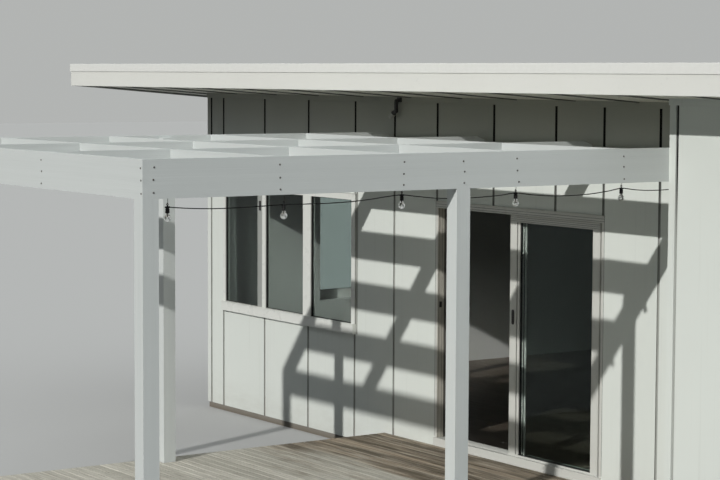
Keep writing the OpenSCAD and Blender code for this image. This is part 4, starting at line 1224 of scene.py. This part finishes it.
def door_surround():
    """Gaskets and edges of the fixed leaf, the frame's drip and flashing, and black strips painted as shadow
    lines beside the frame and as the shade in grooves over the door.
    """
    gaskets, edges = Form(), Form()
    leaf_trim(gaskets, edges, FIXED_X, FIXED_BACK, TRACK_Z, HEAD_Z)
    stile_end, glass_z = FIXED_X + STILE_W, (TRACK_Z + RAIL_H, HEAD_Z - RAIL_H)
    y, jamb = FIXED_BACK, DOOR_END - JAMB_T
    FRONT.blocks(
        gaskets, (span(FIXED_X, PILE_X), (y - 0.0006, y + 0.001), (SILL_Z, HEAD_Z - 0.001)),
        (span(stile_end, FIXED_SEAL_X), (y + 0.0013, y + 0.0155), glass_z),
        # Painted shadow: black strips for the shadow lines of the gaps by the jamb and beside the frame
        ((jamb - SHADOW_LINE_W, jamb), (y - 0.0008, y + 0.0005), (SILL_Z, HEAD_Z)),
        *[((x, x + SHADOW_LINE_W), (-0.0006, 0.01), (SILL_Z, HEAD_Z + CASING_H))
          for x in (DOOR_X - SHADOW_LINE_W, DOOR_END)],
        # Painted shade: black lines over the door's head for the shade in grooves
        *[((DOOR_X + 0.001, DOOR_END - 0.001), (-0.0007, 0.0003), span(HEAD_Z + up, (0, 0.003)))
          for up in HEAD_SHADE_LINES])
    FRONT.blocks(
        edges, (span(stile_end, FIXED_BEAD_X), (y + 0.001, y + 0.0155), glass_z),
        ((DOOR_X - 0.004, DOOR_END + 0.004), span(-SILL_PROUD, (-0.004, 0.002)),
         span(SILL_Z, (-0.084, -0.074))),
        ((DOOR_X - 0.01, DOOR_END + 0.01), (-0.016, 0.0), span(HEAD_Z + CASING_H, (0.0002, 0.004))))
    gaskets.piece("fixed_leaf_gaskets", "gasket", "fitting")
    edges.piece("door_frame_edges", "door", "door_frame", bevel=0.001)


def jamb_lining():
    """Beige fins down the jamb that the leaf closes into, a dark back part and a black keep."""
    fins, back, keep = Form(), Form(), Form()
    x, z = DOOR_X + JAMB_T, (SILL_Z - LIP_DROP + 0.0005, HEAD_Z - 0.0005)
    fin_x = (x + 0.002, x + 0.0042)
    FRONT.blocks(fins, ((x, x + 0.002), (0.004, JAMB_BEIGE_D), z),
                 *[(fin_x, (y, y + 0.003), z) for y in JAMB_FINS_Y])
    FRONT.blocks(back, ((x, x + 0.002), (JAMB_BEIGE_D + 0.0005, DOOR_DEPTH - 0.001), z),
                 *[((x + 0.0021, x + 0.0026), (y, y + 0.0035), z) for y in JAMB_SLOTS_Y])
    FRONT.blocks(keep, (fin_x, span(LEAF_BACK, (-0.004, 0.024)), span(SILL_Z, KEEP_Z)))
    fins.piece("jamb_lining", "jamb", "door_frame", bevel=0.0008)
    back.piece("jamb_back", "shade", "door_frame")
    keep.piece("lock_keep", "plastic", "fitting", bevel=0.001)


PULL_W = 0.032
PULL_L = 0.13
PULL_Z = 1.14
PLATE_T = 0.004
PLATE_EDGE = 0.002
GRIP_R = 0.0048
GRIP_SIDE = 0.01
# Half of the grip from its foot to its middle: distance out, height
GRIP = [(0.004, 0.039), (0.012, 0.039), (0.0165, 0.035), (0.017, 0.0)]
PULL_SCREW = [(0.0038, 0), (0.0032, 0.001)]
PULL_SCREW_END = 0.012


def door_pull():
    """Black pull: a rounded plate, a bent grip and two screws."""
    form = Form()
    plate = FRONT.point(LEAF_OPEN_X + STILE_W / 2, LEAF_BACK, SILL_Z + PULL_Z + PULL_L / 2)
    face = -PLATE_T - PLATE_EDGE
    form.bar(rounded(PULL_W, PULL_L, 0.012, 5), *around(plate, [(0, 0, 0), (0, -PLATE_T, 0)]))
    form.bar(rounded(PULL_W - 0.004, PULL_L - 0.004, 0.01, 5),
             *around(plate, [(0, -PLATE_T, 0), (0, face, 0)]))
    grip = [(GRIP_SIDE, -out, up) for out, up in GRIP]
    grip += [(GRIP_SIDE, -out, -up) for out, up in GRIP[-2::-1]]
    form.tube(smooth_route(around(plate, grip), 4), GRIP_R, 12)
    for side in (-1, 1):
        form.lathe(PULL_SCREW, plate + Vector((0, face, side * (PULL_L / 2 - PULL_SCREW_END))),
                   (0, -1, 0), 12)
    form.piece("door_pull", "plastic", "handle", body="sliding_door", replaces="door_handle")


# Sensor light under the eaves

LIGHT_X = 3.585
LIGHT_TOP_Z = 3.386
LIGHT_BASE = (0.06, 0.016, 0.044)
LIGHT_HUB = (-0.004, -0.038, -0.022)
LIGHT_BODY_L = 0.12
LIGHT_HEAD_TURN = math.radians(238)
LIGHT_FINS = 7
FIN_FIRST = -0.012
FIN_STEP = 0.011
# Profiles as (radius, distance along)
LIGHT_BODY = [(0.006, 0.006), (0.015, 0.004), (0.0185, -0.003), (0.0185, 0.006 - LIGHT_BODY_L),
              (0.014, -LIGHT_BODY_L)]
LIGHT_FIN = [(0.0185, 0), (0.021, -0.001), (0.021, -0.003), (0.0185, -0.004)]
LIGHT_HOOD = [(0.01, -0.006), (0.018, 0.0), (0.019, 0.02), (0.022, 0.045), (0.026, 0.05)]
LIGHT_LENS = [(0.026, 0.05), (0.0265, 0.054), (0.027, 0.1), (0.024, 0.112), (0.012, 0.117)]
LIGHT_EYE = [(0.01, -0.004), (0.012, 0.0), (0.011, 0.007), (0.006, 0.011), (0.001, 0.012)]
EYE_TOWARD = (0.1, -0.8, -0.6)


def wall_light():
    """Base, ribbed body with a sensor eye, and a hooded lamp head turned down to the left."""
    body, lens = Form(), Form()
    origin = at(LIGHT_X, -TRIM_T, LIGHT_TOP_Z)
    w, d, h = LIGHT_BASE
    plate = origin - upward(h / 2)
    body.bar(rounded(w, h, 0.008, 4), plate, plate - Vector((0, d, 0)))
    hub = origin + Vector(LIGHT_HUB)
    arm = around(plate, [(-0.002, 0.002 - d, 0), (-0.003, -d - 0.01, 0)])
    body.tube([*arm, hub + Vector((0, 0.004, -0.004))], 0.01, 12)
    body.lathe(LIGHT_BODY, hub, sides=20)
    for i in range(LIGHT_FINS):
        body.lathe(LIGHT_FIN, hub + upward(FIN_FIRST - i * FIN_STEP), sides=20)
    turn = Vector((math.sin(LIGHT_HEAD_TURN), 0, math.cos(LIGHT_HEAD_TURN)))
    mouth, eye = around(hub, [(0, 0, 0.021 - LIGHT_BODY_L), (0.004, -0.012, 0.03 - LIGHT_BODY_L)])
    body.lathe(LIGHT_HOOD, mouth, turn, 24)
    lens.lathe(LIGHT_LENS, mouth, turn, 24)
    body.lathe(LIGHT_EYE, eye, EYE_TOWARD, 16)
    body.piece("sensor_light", "plastic", "fitting", replaces="wall_light")
    lens.piece("light_lens", "lens", "lamp")


# Finish of the CAD pieces

FINISHES = {
    # The top trim takes the sheet paint, with its painted shade under the eaves
    "sheet": ["wall_top_trim", "cladding_wing", "cladding_left", "cladding_right", "cladding_back"],
    "window": ["front_window_frame", "other_window_frames"],
    "glass": ["front_window_glass", "other_window_glass", "fixed_leaf_glass", "sliding_leaf_glass"],
    "door": ["door_frame", "fixed_leaf_frame", "sliding_leaf_frame"],
    "lining": ["eaves_lining"],
    "room": ["ceiling_lining"],
    "pine": ["roof_rafters"],
    "fascia": ["front_fascia", "barge_boards", "rear_fascia"],
    "timber_x": ["outer_beam", "cross_members", "wall_ledger"],
    "timber_y": ["near_beam", "far_beam", "pergola_rafters"],
    "timber_z": ["near_posts", "far_posts"],
    "joist": ["deck_joists"],
    "rim": ["deck_rims"]}
# Two finishes, the direction in which faces get the second, and the nodes
SPLIT_FINISHES = [
    ("room", "groove", (0, -1, 0), ["front_wall_left", "front_wall_over_door", "front_wall_right",
                                    "wing_front_wall"]),
    ("room", "groove", (-1, 0, 0), ["wing_return_wall", "left_wall"]),
    ("room", "groove", (1, 0, 0), ["right_wall"]),
    ("room", "groove", (0, 1, 0), ["back_wall"]),
    # Painted shade: the sheets' edges towards +x take the dark groove finish, so the joints read wider and
    # darker
    ("sheet", "groove", (1, 0, 0), ["cladding_front"]),
    ("concrete", "floor", (0, 0, 1), ["floor_slab"])]
SOFT_EDGES = {
    0.0015: ["wall_top_trim", "door_frame", "fixed_leaf_frame"],
    0.002: ["front_fascia", "barge_boards", "rear_fascia", "front_window_frame", "other_window_frames",
            "deck_rims"],
    0.003: ["near_beam", "far_beam", "outer_beam", "pergola_rafters", "cross_members", "wall_ledger"],
    0.004: ["near_posts", "far_posts"]}
FACING = 0.9


def dress(node, *finishes):
    """Give a CAD node its finishes."""
    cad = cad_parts[node]
    cad.data.materials.clear()
    for finish in finishes:
        cad.data.materials.append(MATERIALS[finish])
    return cad


def finish_nodes():
    for finish, nodes in FINISHES.items():
        for node in nodes:
            dress(node, finish)
    for first, second, toward, nodes in SPLIT_FINISHES:
        for node in nodes:
            for face in dress(node, first, second).data.polygons:
                face.material_index = int(face.normal.dot(Vector(toward)) > FACING)
    for node in FINISHES["glass"]:
        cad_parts[node].visible_shadow = False
    for width, nodes in SOFT_EDGES.items():
        for node in nodes:
            soften(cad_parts[node], width)


def build():
    make_camera()
    make_materials()
    festoon_cable(festoon_lamps())
    festoon_hooks()
    festoon_outlet()
    make_lamp("sun", **SUN)
    make_lamp("fill", **FILL)
    make_world()
    make_floor()
    finish_nodes()
    deck_boards()
    pergola_bolts()
    eaves_battens()
    roof_sheets()
    roof_capping()
    rear_gutter()
    downpipes()
    windows()
    sliding_leaf()
    door_surround()
    jamb_lining()
    door_pull()
    wall_light()
    bpy.context.scene.view_settings.view_transform = "Standard"


build()
